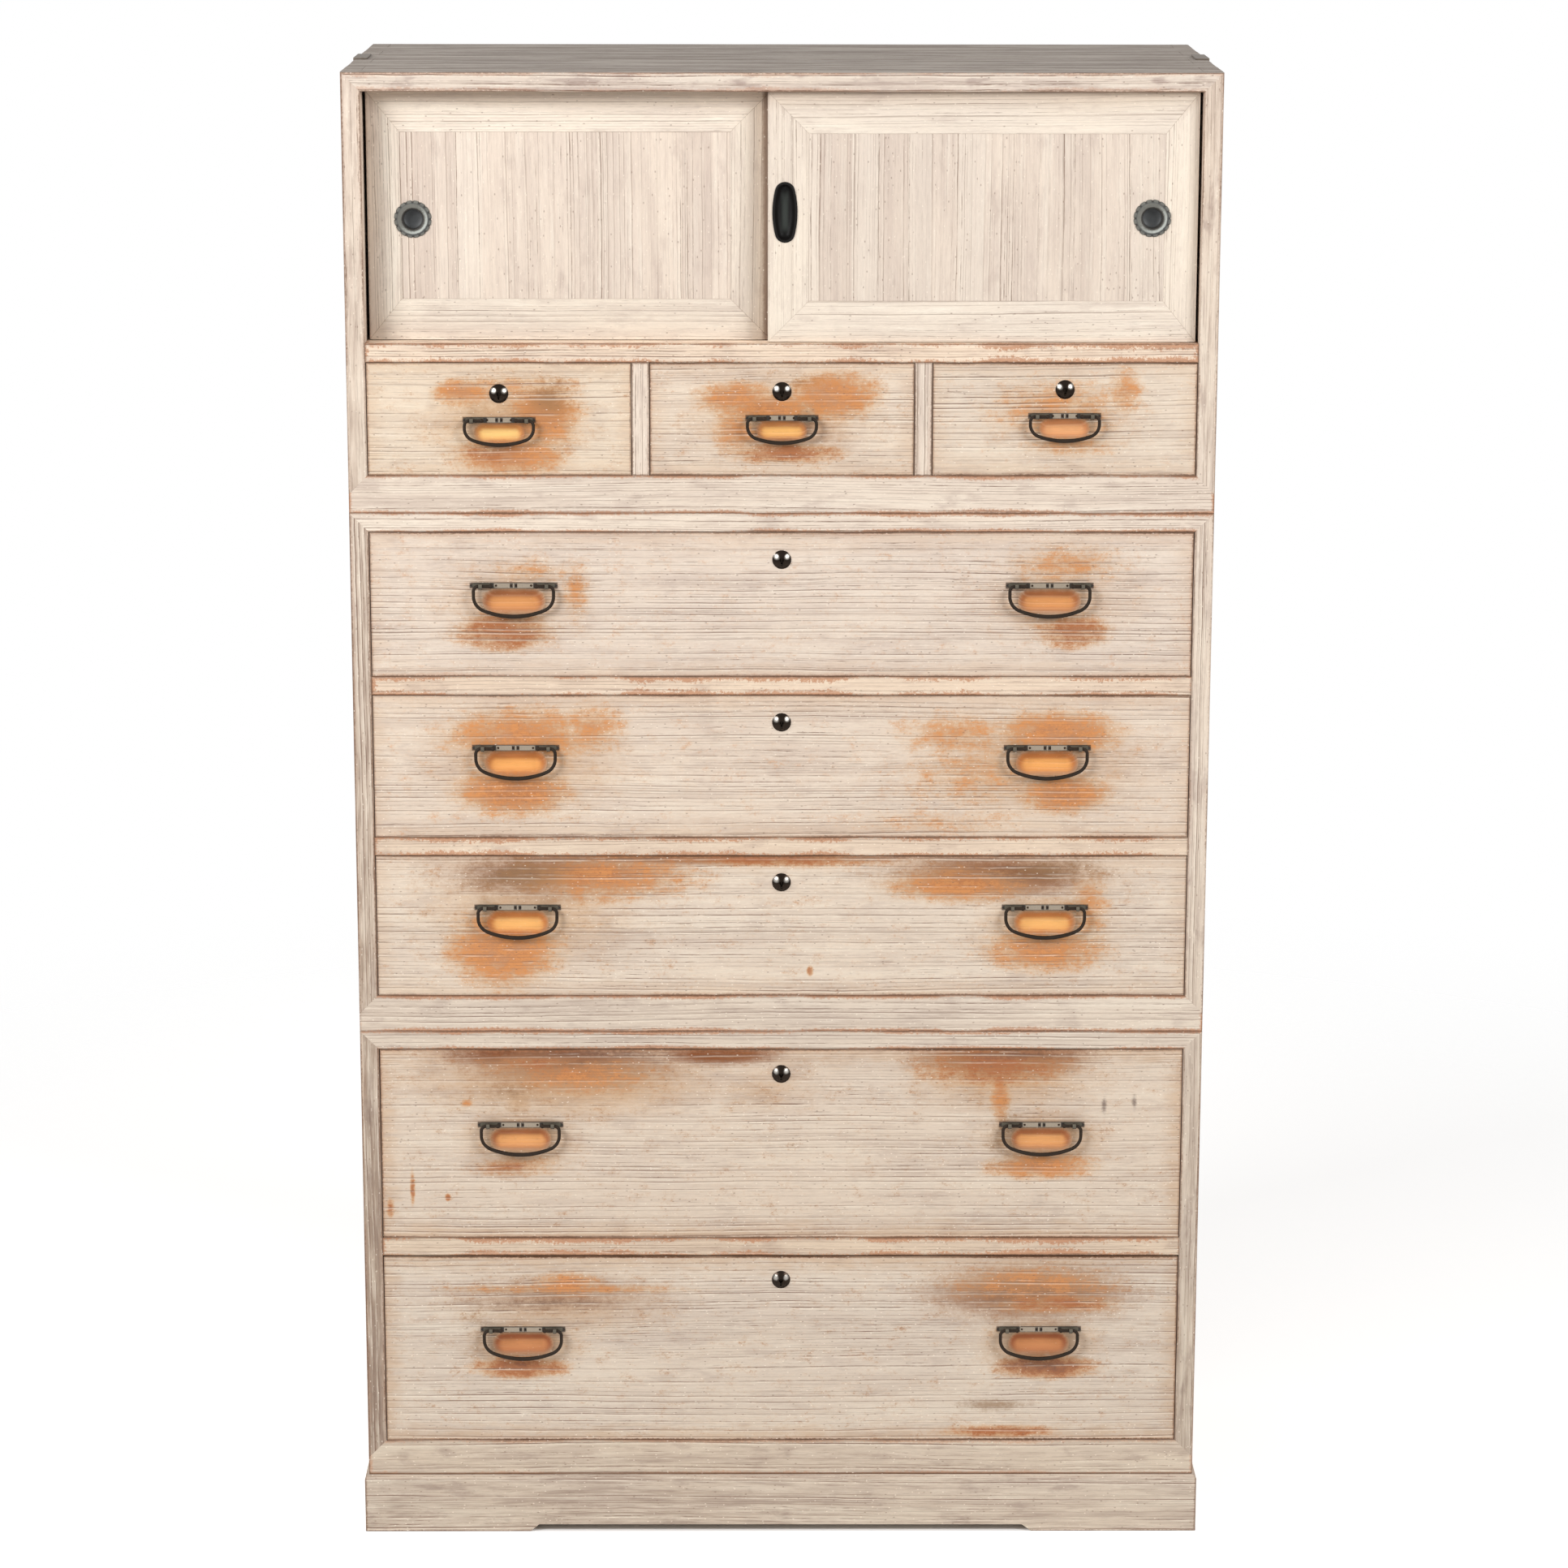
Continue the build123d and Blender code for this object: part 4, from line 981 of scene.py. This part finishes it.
def turned(middle, angle, profile, floor, material, shift=(0.0, 0.0)):
    """Closed surface of rings that face Y: at each angle a point lies the ring's radius away from the
    middle, or from the middle plus shift, and the ring's depth behind it. floor is the depth and the rise
    of the point that closes the first ring. The last one is closed on the axis."""
    x, y, z = middle
    even = np.ones_like(angle)
    cosine, sine = np.cos(angle), np.sin(angle)
    rings = [
        np.stack([x + shift[0] + radius * cosine, (y + depth) * even, z + shift[1] + radius * sine], axis=1)
        for radius, depth in profile
    ]
    ends = np.array([[x, y + floor[0], z + floor[1]], [x, y + FITTING_BACK, z]])
    return closed_surface(np.stack(rings) * MM, *(ends * MM), material)


def arc_points(centre, radius, start, turn, count=90):
    """Points of an arc in a plane: the centre plus the radius times the cosine and sine of the angle."""
    angle = np.radians(np.linspace(start, start + turn, count))
    return np.stack([centre[0] + radius * np.cos(angle), centre[1] + radius * np.sin(angle)], axis=1)


def bail_shape(kind, pivot, side_way, random, material=0):
    """Forged wire with a knob at each end. Its centre line runs out along the pivot, turns down in a tight
    bend and a short leg, and goes round a side arc and a wide bottom arc to the same on the other side.
    Around it the radius is the wire's, a little more at the bottom, or the knob's sphere near the ends."""
    half, drop, leg, shoulder, wire = BAILS[kind]
    knob = KNOB_PER_WIRE * wire
    tail = half - BAIL_BEND - EYE_WIDTH / 2 - TAIL_LENGTH
    knee = -BAIL_BEND - leg
    rise, reach = drop + knee, half - shoulder
    radius = (reach**2 + rise**2 - shoulder**2) / (2 * (rise - shoulder))
    turn = math.degrees(math.atan2(radius - rise, reach))
    left = [
        np.array([[knob - tail, 0.0], [BAIL_BEND - half, 0.0]]),
        arc_points((BAIL_BEND - half, -BAIL_BEND), BAIL_BEND, 90, 90),
        arc_points((-reach, knee), shoulder, 180, turn),
        arc_points((0, radius - drop), radius, 180 + turn, 90 - turn),
    ]
    left = np.concatenate(left)
    line = np.concatenate([left, (left * (-1, 1))[::-1]])
    steps = np.linalg.norm(np.diff(line, axis=0), axis=1)
    line = line[np.concatenate([[True], steps > 1e-6])]
    run = np.concatenate([[0], np.cumsum(np.linalg.norm(np.diff(line, axis=0), axis=1))])
    total = run[-1]
    cap = knob * (1 - np.cos(np.linspace(0.12, 2.6, KNOB_RINGS)))
    between = np.linspace(cap[-1] + 0.8, total - cap[-1] - 0.8, WIRE_RINGS)
    where = np.concatenate([cap, between, (total - cap)[::-1]])
    centre, ahead, behind = (
        np.stack([np.interp(where + step, run, line[:, axis]) for axis in (0, 1)], axis=1)
        for step in (0.0, 0.4, -0.4)
    )
    tangent = ahead - behind
    tangent /= np.linalg.norm(tangent, axis=1, keepdims=True)
    middle = np.sin(np.pi * where / total)
    hammered = 1 + HAMMER_MARKS * np.sin(where * 0.8 + random.uniform(0, 6)) * middle
    thick = wire / 2 * (WIRE_THIN + WIRE_SWELL * middle**6) * hammered
    from_end = np.minimum(where, total - where)
    ball = np.sqrt(np.maximum(knob**2 - (from_end - knob) ** 2, 0))
    size = np.where(from_end < knob, ball, np.maximum(ball, thick))
    angle = np.linspace(0, 2 * np.pi, WIRE_SIDES, endpoint=False)
    normal = np.stack([-tangent[:, 1], tangent[:, 0]], axis=1)
    flat = centre[:, None, :] + (size[:, None] * np.cos(angle))[..., None] * normal[:, None, :]
    out = size[:, None] * np.sin(angle)[None, :]
    poles = np.array([[knob - tail, 0.0], [tail - knob, 0.0]])

    def to_frame(across, up, outward):
        offset = np.stack([across * side_way[0], across * side_way[1], up], axis=-1)
        offset[..., 0] += outward * side_way[1]
        offset[..., 1] -= outward * side_way[0]
        return (np.asarray(pivot) + offset) * MM

    rings = to_frame(flat[..., 0], flat[..., 1], out)
    ends = to_frame(poles[:, 0], poles[:, 1], np.zeros(2))
    return closed_surface(rings, ends[0], ends[1], material)


def keyhole_outline(angle):
    """Distance from the keyhole's middle to its edge: the round part's radius, or the slot's where the
    direction falls inside the slot below it."""
    down = np.abs((angle + np.pi / 2 + np.pi) % (2 * np.pi) - np.pi)
    along = KEYHOLE_LENGTH / np.maximum(np.cos(down), 1e-3)
    beside = SLOT_HALF_WIDTH / np.maximum(np.sin(down), 1e-3)
    slot = np.where(np.cos(down) > 0, np.minimum(along, beside), 0)
    return np.maximum(KEYHOLE_RADIUS, slot)


def lock_dome(x, z, material):
    """Domed plate with a keyhole. From the keyhole's edge to the rim a point moves straight outwards, and
    its height is that of a cap of a sphere. The keyhole goes down to a dark floor inside the barrel."""
    sphere = (DOME_RADIUS**2 + DOME_HEIGHT**2) / (2 * DOME_HEIGHT)
    spread = np.linspace(-1, 1, DOME_SIDES, endpoint=False)
    angle = -np.pi / 2 + np.pi * np.sign(spread) * np.abs(spread) ** 1.5
    hole = keyhole_outline(angle)
    share_out = np.linspace(0, 1, 14)[:, None]
    plan = hole * (1 - share_out) + DOME_RADIUS * share_out
    depth = (sphere - DOME_HEIGHT) - np.sqrt(sphere**2 - plan**2)
    profile = [(hole, KEYHOLE_DEPTH), (hole, depth[0] + 0.35), (hole + 0.2, depth[0] + 0.08)]
    profile += list(zip(plan[1:-1], depth[1:-1]))
    profile += [(DOME_RADIUS, -0.25), (DOME_RADIUS, 0.2), (BARREL_RADIUS, 0.3), (BARREL_RADIUS, FITTING_BACK)]
    return turned((x, FACE_Y, z), angle, profile, (KEYHOLE_DEPTH, -0.5), material)


def round_pull_shape(x, y, z, material):
    """Finger cup with a notched flange: a profile of radius and depth turned about the cup's middle, with
    the flange's outer radius drawn in along each of sixteen small circles."""
    angle = np.linspace(0, 2 * np.pi, PULL_SIDES, endpoint=False)
    step = 2 * np.pi / PULL_NOTCHES
    off = (angle + step / 2) % step - step / 2
    notch = NOTCH_RADIUS**2 - (NOTCH_CIRCLE * np.sin(off)) ** 2
    cut = NOTCH_CIRCLE * np.cos(off) - np.sqrt(np.maximum(notch, 0))
    edge = np.minimum(np.where(notch > 0, cut, FLANGE_RADIUS), FLANGE_RADIUS)
    profile = [(5.0, 7.75), (8.6, 7.4), (10.4, 6.1), (11.2, 4.0), (11.3, 0.2), (11.6, -0.9), (12.4, -1.3)]
    profile += [(edge - 1.6, -1.25), (edge - 0.4, -0.9), (edge, -0.4), (edge, 0.0)]
    profile += [(SEAT_RADIUS, 0.0), (SEAT_RADIUS, FITTING_BACK)]
    return turned((x, y, z), angle, profile, (CUP_DEPTH, 0.0), material)


def oval_pull_shape(x, y, z, material):
    """Oval finger cup with a raised rim. Each ring is made of two long and two short tangent arcs, with
    the same directions on all rings and both radii less by the ring's inset, at its own depth."""
    half, half_height, end_radius = OVAL_SIZES
    end = half_height - end_radius
    side_radius = (half**2 + end**2 - end_radius**2) / (2 * (half - end_radius))
    lean = np.arctan2(end, side_radius - half)
    quarter = np.concatenate([np.linspace(0, lean, 12, endpoint=False), np.linspace(lean, np.pi / 2, 16)])
    angle = np.concatenate([quarter, np.pi - quarter[-2::-1]])
    angle = np.concatenate([angle, angle[1:-1] + np.pi])
    cosine, sine = np.cos(angle), np.sin(angle)
    at_side = np.abs(sine) < np.sin(lean)
    shift_x = np.where(at_side, np.sign(cosine) * (half - side_radius), 0)
    shift_z = np.where(at_side, 0, np.sign(sine) * end)
    radius = np.where(at_side, side_radius, end_radius)
    profile = [(10.6, 7.7), (9.0, 7.5), (7.0, 6.6), (5.2, 5.0), (4.0, 2.6), (3.2, 0.0), (2.7, -1.2)]
    profile += [(1.9, -1.5), (0.9, -1.35), (0.25, -0.8), (0.0, 0.0), (1.8, 0.02), (1.8, FITTING_BACK)]
    profile = [(radius - inset, depth) for inset, depth in profile]
    return turned((x, y, z), angle, profile, (CUP_DEPTH, 0.0), material, (shift_x, shift_z))


# ---- Operators ----
class ChestCases(bpy.types.Operator):
    """Boards of the three cases, their rails, shelf, dividers and backs"""

    bl_idname = "chest.cases"
    bl_label = "Cases"

    def execute(self, context):
        look = context.scene.chest_wood
        rails = washed_wood("washed_rails", look, fringe=1.0, dirt=0.2, soil=1.4)
        low_rail = washed_wood(
            "washed_low_rail", look, tone=LOW_RAIL_TONE, fringe=0.6, dirt=0.25, foot_shadow=PLINTH_TOP, soil=1.8
        )
        runners = washed_wood("washed_runners", look, tone=RUNNER_TONE, fringe=2.0, dirt=0.15, soil=1.5)
        posts = washed_wood("washed_dividers", look, fringe=0.15, dirt=0.1, soil=1.6)
        top = washed_wood("washed_top", look, tone=TOP_TONE, fringe=0.5, soil=3.0, lines=1.3)
        edges = washed_wood("washed_sides", look, fringe=0.15, dirt=1.0, lines=1.2, soil=2.0)
        backs = plain_wood("plain_backs", look.inside)
        for case in ("lower", "middle", "upper"):
            wood_piece(f"{case}_sides", "case", edges, look.softness)
            floor = low_rail if case == "lower" else rails
            wood_piece(f"{case}_floor", "case", floor, look.softness * INNER_SOFTNESS)
            wood_piece(f"{case}_top", "case", top if case == "upper" else rails, look.softness)
        for node in ("drawer_rails", "cupboard_shelf"):
            wood_piece(node, "case", runners, look.softness * INNER_SOFTNESS)
        wood_piece("small_drawer_dividers", "case", posts, look.softness * INNER_SOFTNESS, along=UP)
        wood_piece("back_planks", "case", backs, look.softness)
        return {"FINISHED"}


class ChestPlinth(bpy.types.Operator):
    """Four chamfered boards under the lower case"""

    bl_idname = "chest.plinth"
    bl_label = "Plinth"

    def execute(self, context):
        look = context.scene.chest_wood
        wood = washed_wood("washed_plinth", look, lines=1.2, fringe=0.1, dirt=0.35, soil=2.0)
        wood_piece("plinth", "case", wood, look.softness)
        return {"FINISHED"}


class ChestDrawers(bpy.types.Operator):
    """Drawer fronts with their worn places and hollows, and the boxes behind them"""

    bl_idname = "chest.drawers"
    bl_label = "Drawers"

    def execute(self, context):
        look = context.scene.chest_wood
        inner = plain_wood("plain_boxes", look.inside)
        for drawer, (_, strip_z) in DRAWERS.items():
            kind, centres = drawer_kind(drawer), handle_centres(drawer)
            width, height, below = SCOOPS[kind]
            middle = strip_z - below
            edge, glow = (colour(*tone) for tone in HOLLOWS[drawer])
            scoops = [(x, middle, width, height, edge, glow) for x in centres]
            plates = [(x, strip_z, STRIPS[kind] / 2) for x in centres]
            # Painted shade of each handle, with handling dirt, laid as a soft tan mark round its hollow
            shade_and_dirt_round_handles = tuple(("t", x, middle, width * 0.85, height * 1.2, 1.1) for x in centres)
            wood = washed_wood(
                f"washed_{drawer}", look, tone=DRAWER_TONES[drawer], marks=WEAR[drawer] + shade_and_dirt_round_handles, scoops=scoops,
                plates=plates, border_darkening=1.0 if drawer.startswith("deep") else 0.6,
                edges=1.33 if drawer == "deep_bottom" else 1.1,
            )
            body = f"{drawer}_drawer"
            wood_piece(f"{body}_front", body, wood, look.softness)
            wood_piece(f"{body}_box", body, inner, look.softness * INNER_SOFTNESS)
        return {"FINISHED"}


class ChestDoors(bpy.types.Operator):
    """Two sliding doors: mitred frames and flush panels with upright grain"""

    bl_idname = "chest.doors"
    bl_label = "Doors"

    def execute(self, context):
        look = context.scene.chest_wood
        for side, shade in DOOR_SHADES.items():
            members = washed_wood(
                f"washed_{side}_frame", look, tone=FRAME_TONE, lines=0.65, fringe=0.0, edges=0.15, shade=shade
            )
            panels = washed_wood(
                f"washed_{side}_panel", look, tone=DOOR_TONE, lines=0.72, strips=0.33, fringe=0.0, edges=0.1,
                shade=shade,
            )
            door = f"{side}_door"
            wood_piece(f"{door}_frame", door, members, look.softness * MEMBER_SOFTNESS, mitres=True)
            wood_piece(f"{door}_panel", door, panels, look.softness * PANEL_SOFTNESS, along=UP)
        return {"FINISHED"}


class ChestFittings(bpy.types.Operator):
    """Strip plates with their eyes, lock cases and domed keyhole plates"""

    bl_idname = "chest.fittings"
    bl_label = "Fittings"

    def execute(self, context):
        look = context.scene.chest_iron
        plates = {}
        for kind, width in STRIPS.items():
            middle = width / 2 - RUBBED_END
            plates[kind] = iron(f"{kind}_plate", look.plate, 0.5, 0.3, rubbed=look.pewter, middle=middle)
        dome = iron("black_dome", look.dome, roughness=0.24, metal=1.0, rust_share=0.1, sheen=look.dome_highlight)
        for drawer, (lock_z, _) in DRAWERS.items():
            body, centres = f"{drawer}_drawer", handle_centres(drawer)
            shapes = []
            for points, triangles in solids_of(f"{body}_fittings"):
                width, depth, _ = np.ptp(points[np.unique(triangles)], axis=0)
                if not (width < DOME_WIDTH and depth > DOME_DEPTH and len(triangles) > DOME_TRIANGLES):
                    plate = soft_solid(points, triangles, look.softness, LEAST_PLATE_EDGE, SMALL_PLATE_FACE)
                    shapes.append(plate)
            shapes.append(lock_dome(sum(centres) / len(centres), lock_z, 1))
            materials = [plates[drawer_kind(drawer)], dome]
            make_piece(f"{body}_iron", shapes, materials, body, [f"{body}_fittings"])
        return {"FINISHED"}


class ChestBails(bpy.types.Operator):
    """Forged wire bails of the drawers, thicker at the bottom, with knobbed ends"""

    bl_idname = "chest.bails"
    bl_label = "Bails"

    def execute(self, context):
        look = context.scene.chest_iron
        wire = iron("forged_wire", look.wire, roughness=0.5, metal=0.0, gloss=0.12)
        for drawer, (_, strip_z) in DRAWERS.items():
            centres = handle_centres(drawer)
            ends = ["bail"] if len(centres) == 1 else ["left_bail", "right_bail"]
            for end, x in zip(ends, centres):
                node = f"{drawer}_drawer_{end}"
                pivot = (x, FACE_Y - EYE_STAND, strip_z)
                shape = bail_shape(drawer_kind(drawer), pivot, (1, 0), seeded(node))
                make_piece(f"{node}_wire", [shape], [wire], node, [node])
        return {"FINISHED"}


class ChestPulls(bpy.types.Operator):
    """Round notched finger cups on both doors and the oval cup on the front one"""

    bl_idname = "chest.pulls"
    bl_label = "Door pulls"

    def execute(self, context):
        look = context.scene.chest_iron
        bands = (
            (-1.0, 11.0, look.cup, 1.0),
            (11.0, 13.0, look.rim, 1.0),
            # painted highlight round the flange, strongest towards the lower right
            (14.2, 16.8, look.ring_light, 0.0),
            (*NOTCH_BAND, look.cup, 0.5),
        )
        ring = iron("dull_ring", look.ring, roughness=0.5, metal=0.1, rust_share=0.2, gloss=0.3, bands=bands)
        black, stripe_highlight = colour(*OVAL_BLACK), colour(*OVAL_HIGHLIGHT)
        oval = iron("black_oval", black, 0.45, 0.0, rust_share=0.05, gloss=0.15, stripe_highlight=stripe_highlight)
        left, right = (
            [round_pull_shape(x, DOOR_FACES[side], z, 0)] for side, (x, z) in ROUND_PULLS.items()
        )
        right.append(oval_pull_shape(OVAL_PULL[0], DOOR_FACES["right"], OVAL_PULL[1], 1))
        make_piece("left_door_cup", left, [ring], "left_door", ["left_door_pulls"])
        make_piece("right_door_cups", right, [ring, oval], "right_door", ["right_door_pulls"])
        return {"FINISHED"}


class ChestCarryHandles(bpy.types.Operator):
    """Brackets folded over the top's side edges, and their bails"""

    bl_idname = "chest.carry_handles"
    bl_label = "Carrying handles"

    def execute(self, context):
        look = context.scene.chest_iron
        plate = iron("dull_bracket", look.bracket, roughness=0.55)
        wire = iron("carry_wire", look.wire, roughness=0.5, metal=0.0, gloss=0.12)
        shapes = [
            soft_solid(points, triangles, look.softness * 2, LEAST_BRACKET_EDGE)
            for points, triangles in solids_of("carry_handle_brackets")
        ]
        make_piece("carry_brackets", shapes, [plate], "case", ["carry_handle_brackets"])
        for side, node in ((-1, "left_carry_bail"), (1, "right_carry_bail")):
            pivot = (side * CARRY_PIVOT[0], *CARRY_PIVOT[1:])
            shape = bail_shape("carry", pivot, (0, side), seeded(node))
            make_piece(f"{node}_wire", [shape], [wire], node, [node])
        return {"FINISHED"}


class ChestStudio(bpy.types.Operator):
    """Pale floor, soft lamps and the camera"""

    bl_idname = "chest.studio"
    bl_label = "Studio"

    def execute(self, context):
        look = context.scene.chest_stage
        scene = context.scene
        scene.view_settings.view_transform = "Standard"
        self.floor(scene, look)
        self.sky(scene, look)
        for name, (spot, power) in LAMPS.items():
            self.lamp(scene, name, Vector(spot), power * look.lamp)
        self.camera(scene, look)
        return {"FINISHED"}

    def lamp(self, scene, name, spot, power):
        """Square soft lamp aimed at the middle of the chest."""
        data = bpy.data.lights.new(name, "AREA")
        data.size = LAMP_SIZE
        data.energy = power
        lamp = bpy.data.objects.new(name, data)
        turn = (Vector(LAMP_TARGET) - spot).to_track_quat("-Z", "Y")
        lamp.matrix_world = Matrix.Translation(spot) @ turn.to_matrix().to_4x4()
        scene.collection.objects.link(lamp)

    def sky(self, scene, look):
        """Even white light. What the camera, metal and glass see of it is plain white."""
        nodes = Nodes("studio_sky", "worlds", "Background")
        level = nodes.node("MapRange", {}, {"Value": nodes.seen(), "To Min": look.sky, "To Max": 1.0})
        scene.world = nodes.finish(Color=(1, 1, 1), Strength=level)

    def floor(self, scene, look):
        """Round pale floor that fades into the white background away from the chest. The camera sees it
        a little whiter than it is lit, but not under the plinth."""
        out = np.linspace(0.02, 1, FLOOR_RINGS)[:, None] * FLOOR_RADIUS
        angle = np.linspace(0, 2 * np.pi, FLOOR_SIDES, endpoint=False)
        level = np.zeros((FLOOR_RINGS, FLOOR_SIDES))
        grid = np.stack([out * np.cos(angle), out * np.sin(angle), level], axis=-1)
        points = np.concatenate([grid.reshape(-1, 3), [[0, 0, 0]]])
        mesh = bpy.data.meshes.new("studio_floor")
        mesh.from_pydata(points.tolist(), [], grid_faces(FLOOR_RINGS, FLOOR_SIDES, False))
        floor = bpy.data.objects.new("studio_floor", mesh)
        scene.collection.objects.link(floor)
        nodes = Nodes("studio_floor")
        x, y, _ = nodes.split(nodes.node("TexCoord", {}, {}, "Object"))
        reach = (x * x + y * y) ** 0.5
        fade = nodes.rise(reach, FLOOR_RADIUS * 0.45, FLOOR_RADIUS * 0.92)
        nodes.finish(Base_Color=look.floor, Roughness=0.9, Specular_IOR_Level=0.1)
        corners = np.array(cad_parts["plinth"].bound_box)
        (west, front, _), (east, rear, _) = corners.min(axis=0).tolist(), corners.max(axis=0).tolist()
        outside = (x * -1.0 + west) | (x - east) | (y * -1.0 + front) | (y - rear)
        lift = nodes.seen() * nodes.rise(outside, -0.002, 0.002) * look.floor_lift
        glow = nodes.node("Emission", {}, {"Color": (1, 1, 1), "Strength": lift})
        solid = nodes.node("AddShader", {}, {0: Value(nodes, nodes.shader.outputs[0]), 1: glow})
        blended = nodes.node("MixShader", {}, {0: fade, 1: solid, 2: nodes.node("BsdfTransparent")})
        nodes.plug(nodes.tree.nodes["Material Output"].inputs["Surface"], blended)
        mesh.materials.append(nodes.owner)

    def camera(self, scene, look):
        """Camera in front of the chest, a little above it, looking slightly down."""
        data = bpy.data.cameras.new("camera")
        data.lens = look.lens
        data.sensor_width = SENSOR_WIDTH
        data.clip_end = CLIP_END
        camera = bpy.data.objects.new("camera", data)
        pitch, yaw, roll = (math.radians(angle) for angle in CAMERA_ANGLES)
        forward = Vector((math.sin(yaw) * math.cos(pitch), math.cos(yaw) * math.cos(pitch), -math.sin(pitch)))
        level = Vector((math.cos(yaw), -math.sin(yaw), 0))
        upright = level.cross(forward)
        right = math.cos(roll) * level + math.sin(roll) * upright
        up = math.cos(roll) * upright - math.sin(roll) * level
        turn = Matrix((right, up, -forward)).transposed()
        camera.matrix_world = Matrix.Translation(Vector(CAMERA_PLACE) * MM) @ turn.to_4x4()
        scene.collection.objects.link(camera)
        scene.camera = camera


class ChestPanel(bpy.types.Panel):
    """Settings and pieces of the chest"""

    bl_idname = "VIEW3D_PT_chest"
    bl_label = "Chest"
    bl_space_type = "VIEW_3D"
    bl_region_type = "UI"
    bl_category = "Chest"

    def draw(self, context):
        for title, group in (
            ("Wood", context.scene.chest_wood),
            ("Iron", context.scene.chest_iron),
            ("Studio", context.scene.chest_stage),
        ):
            box = self.layout.box()
            box.label(text=title)
            for name in group.__annotations__:
                box.prop(group, name)
        for step in STEPS:
            self.layout.operator(step.bl_idname)


STEPS = (
    ChestCases,
    ChestPlinth,
    ChestDrawers,
    ChestDoors,
    ChestFittings,
    ChestBails,
    ChestPulls,
    ChestCarryHandles,
    ChestStudio,
)
CLASSES = (ChestWood, ChestIron, ChestStage, *STEPS, ChestPanel)


def register():
    """Adds the settings, operators and panel."""
    for each in CLASSES:
        bpy.utils.register_class(each)
    bpy.types.Scene.chest_wood = bpy.props.PointerProperty(type=ChestWood)
    bpy.types.Scene.chest_iron = bpy.props.PointerProperty(type=ChestIron)
    bpy.types.Scene.chest_stage = bpy.props.PointerProperty(type=ChestStage)


def unregister():
    """Takes them away again."""
    del bpy.types.Scene.chest_stage
    del bpy.types.Scene.chest_iron
    del bpy.types.Scene.chest_wood
    for each in reversed(CLASSES):
        bpy.utils.unregister_class(each)


def main():
    """Makes the chest and its studio."""
    register()
    for step in STEPS:
        group, name = step.bl_idname.split(".")
        getattr(getattr(bpy.ops, group), name)()


if __name__ == "__main__":
    main()
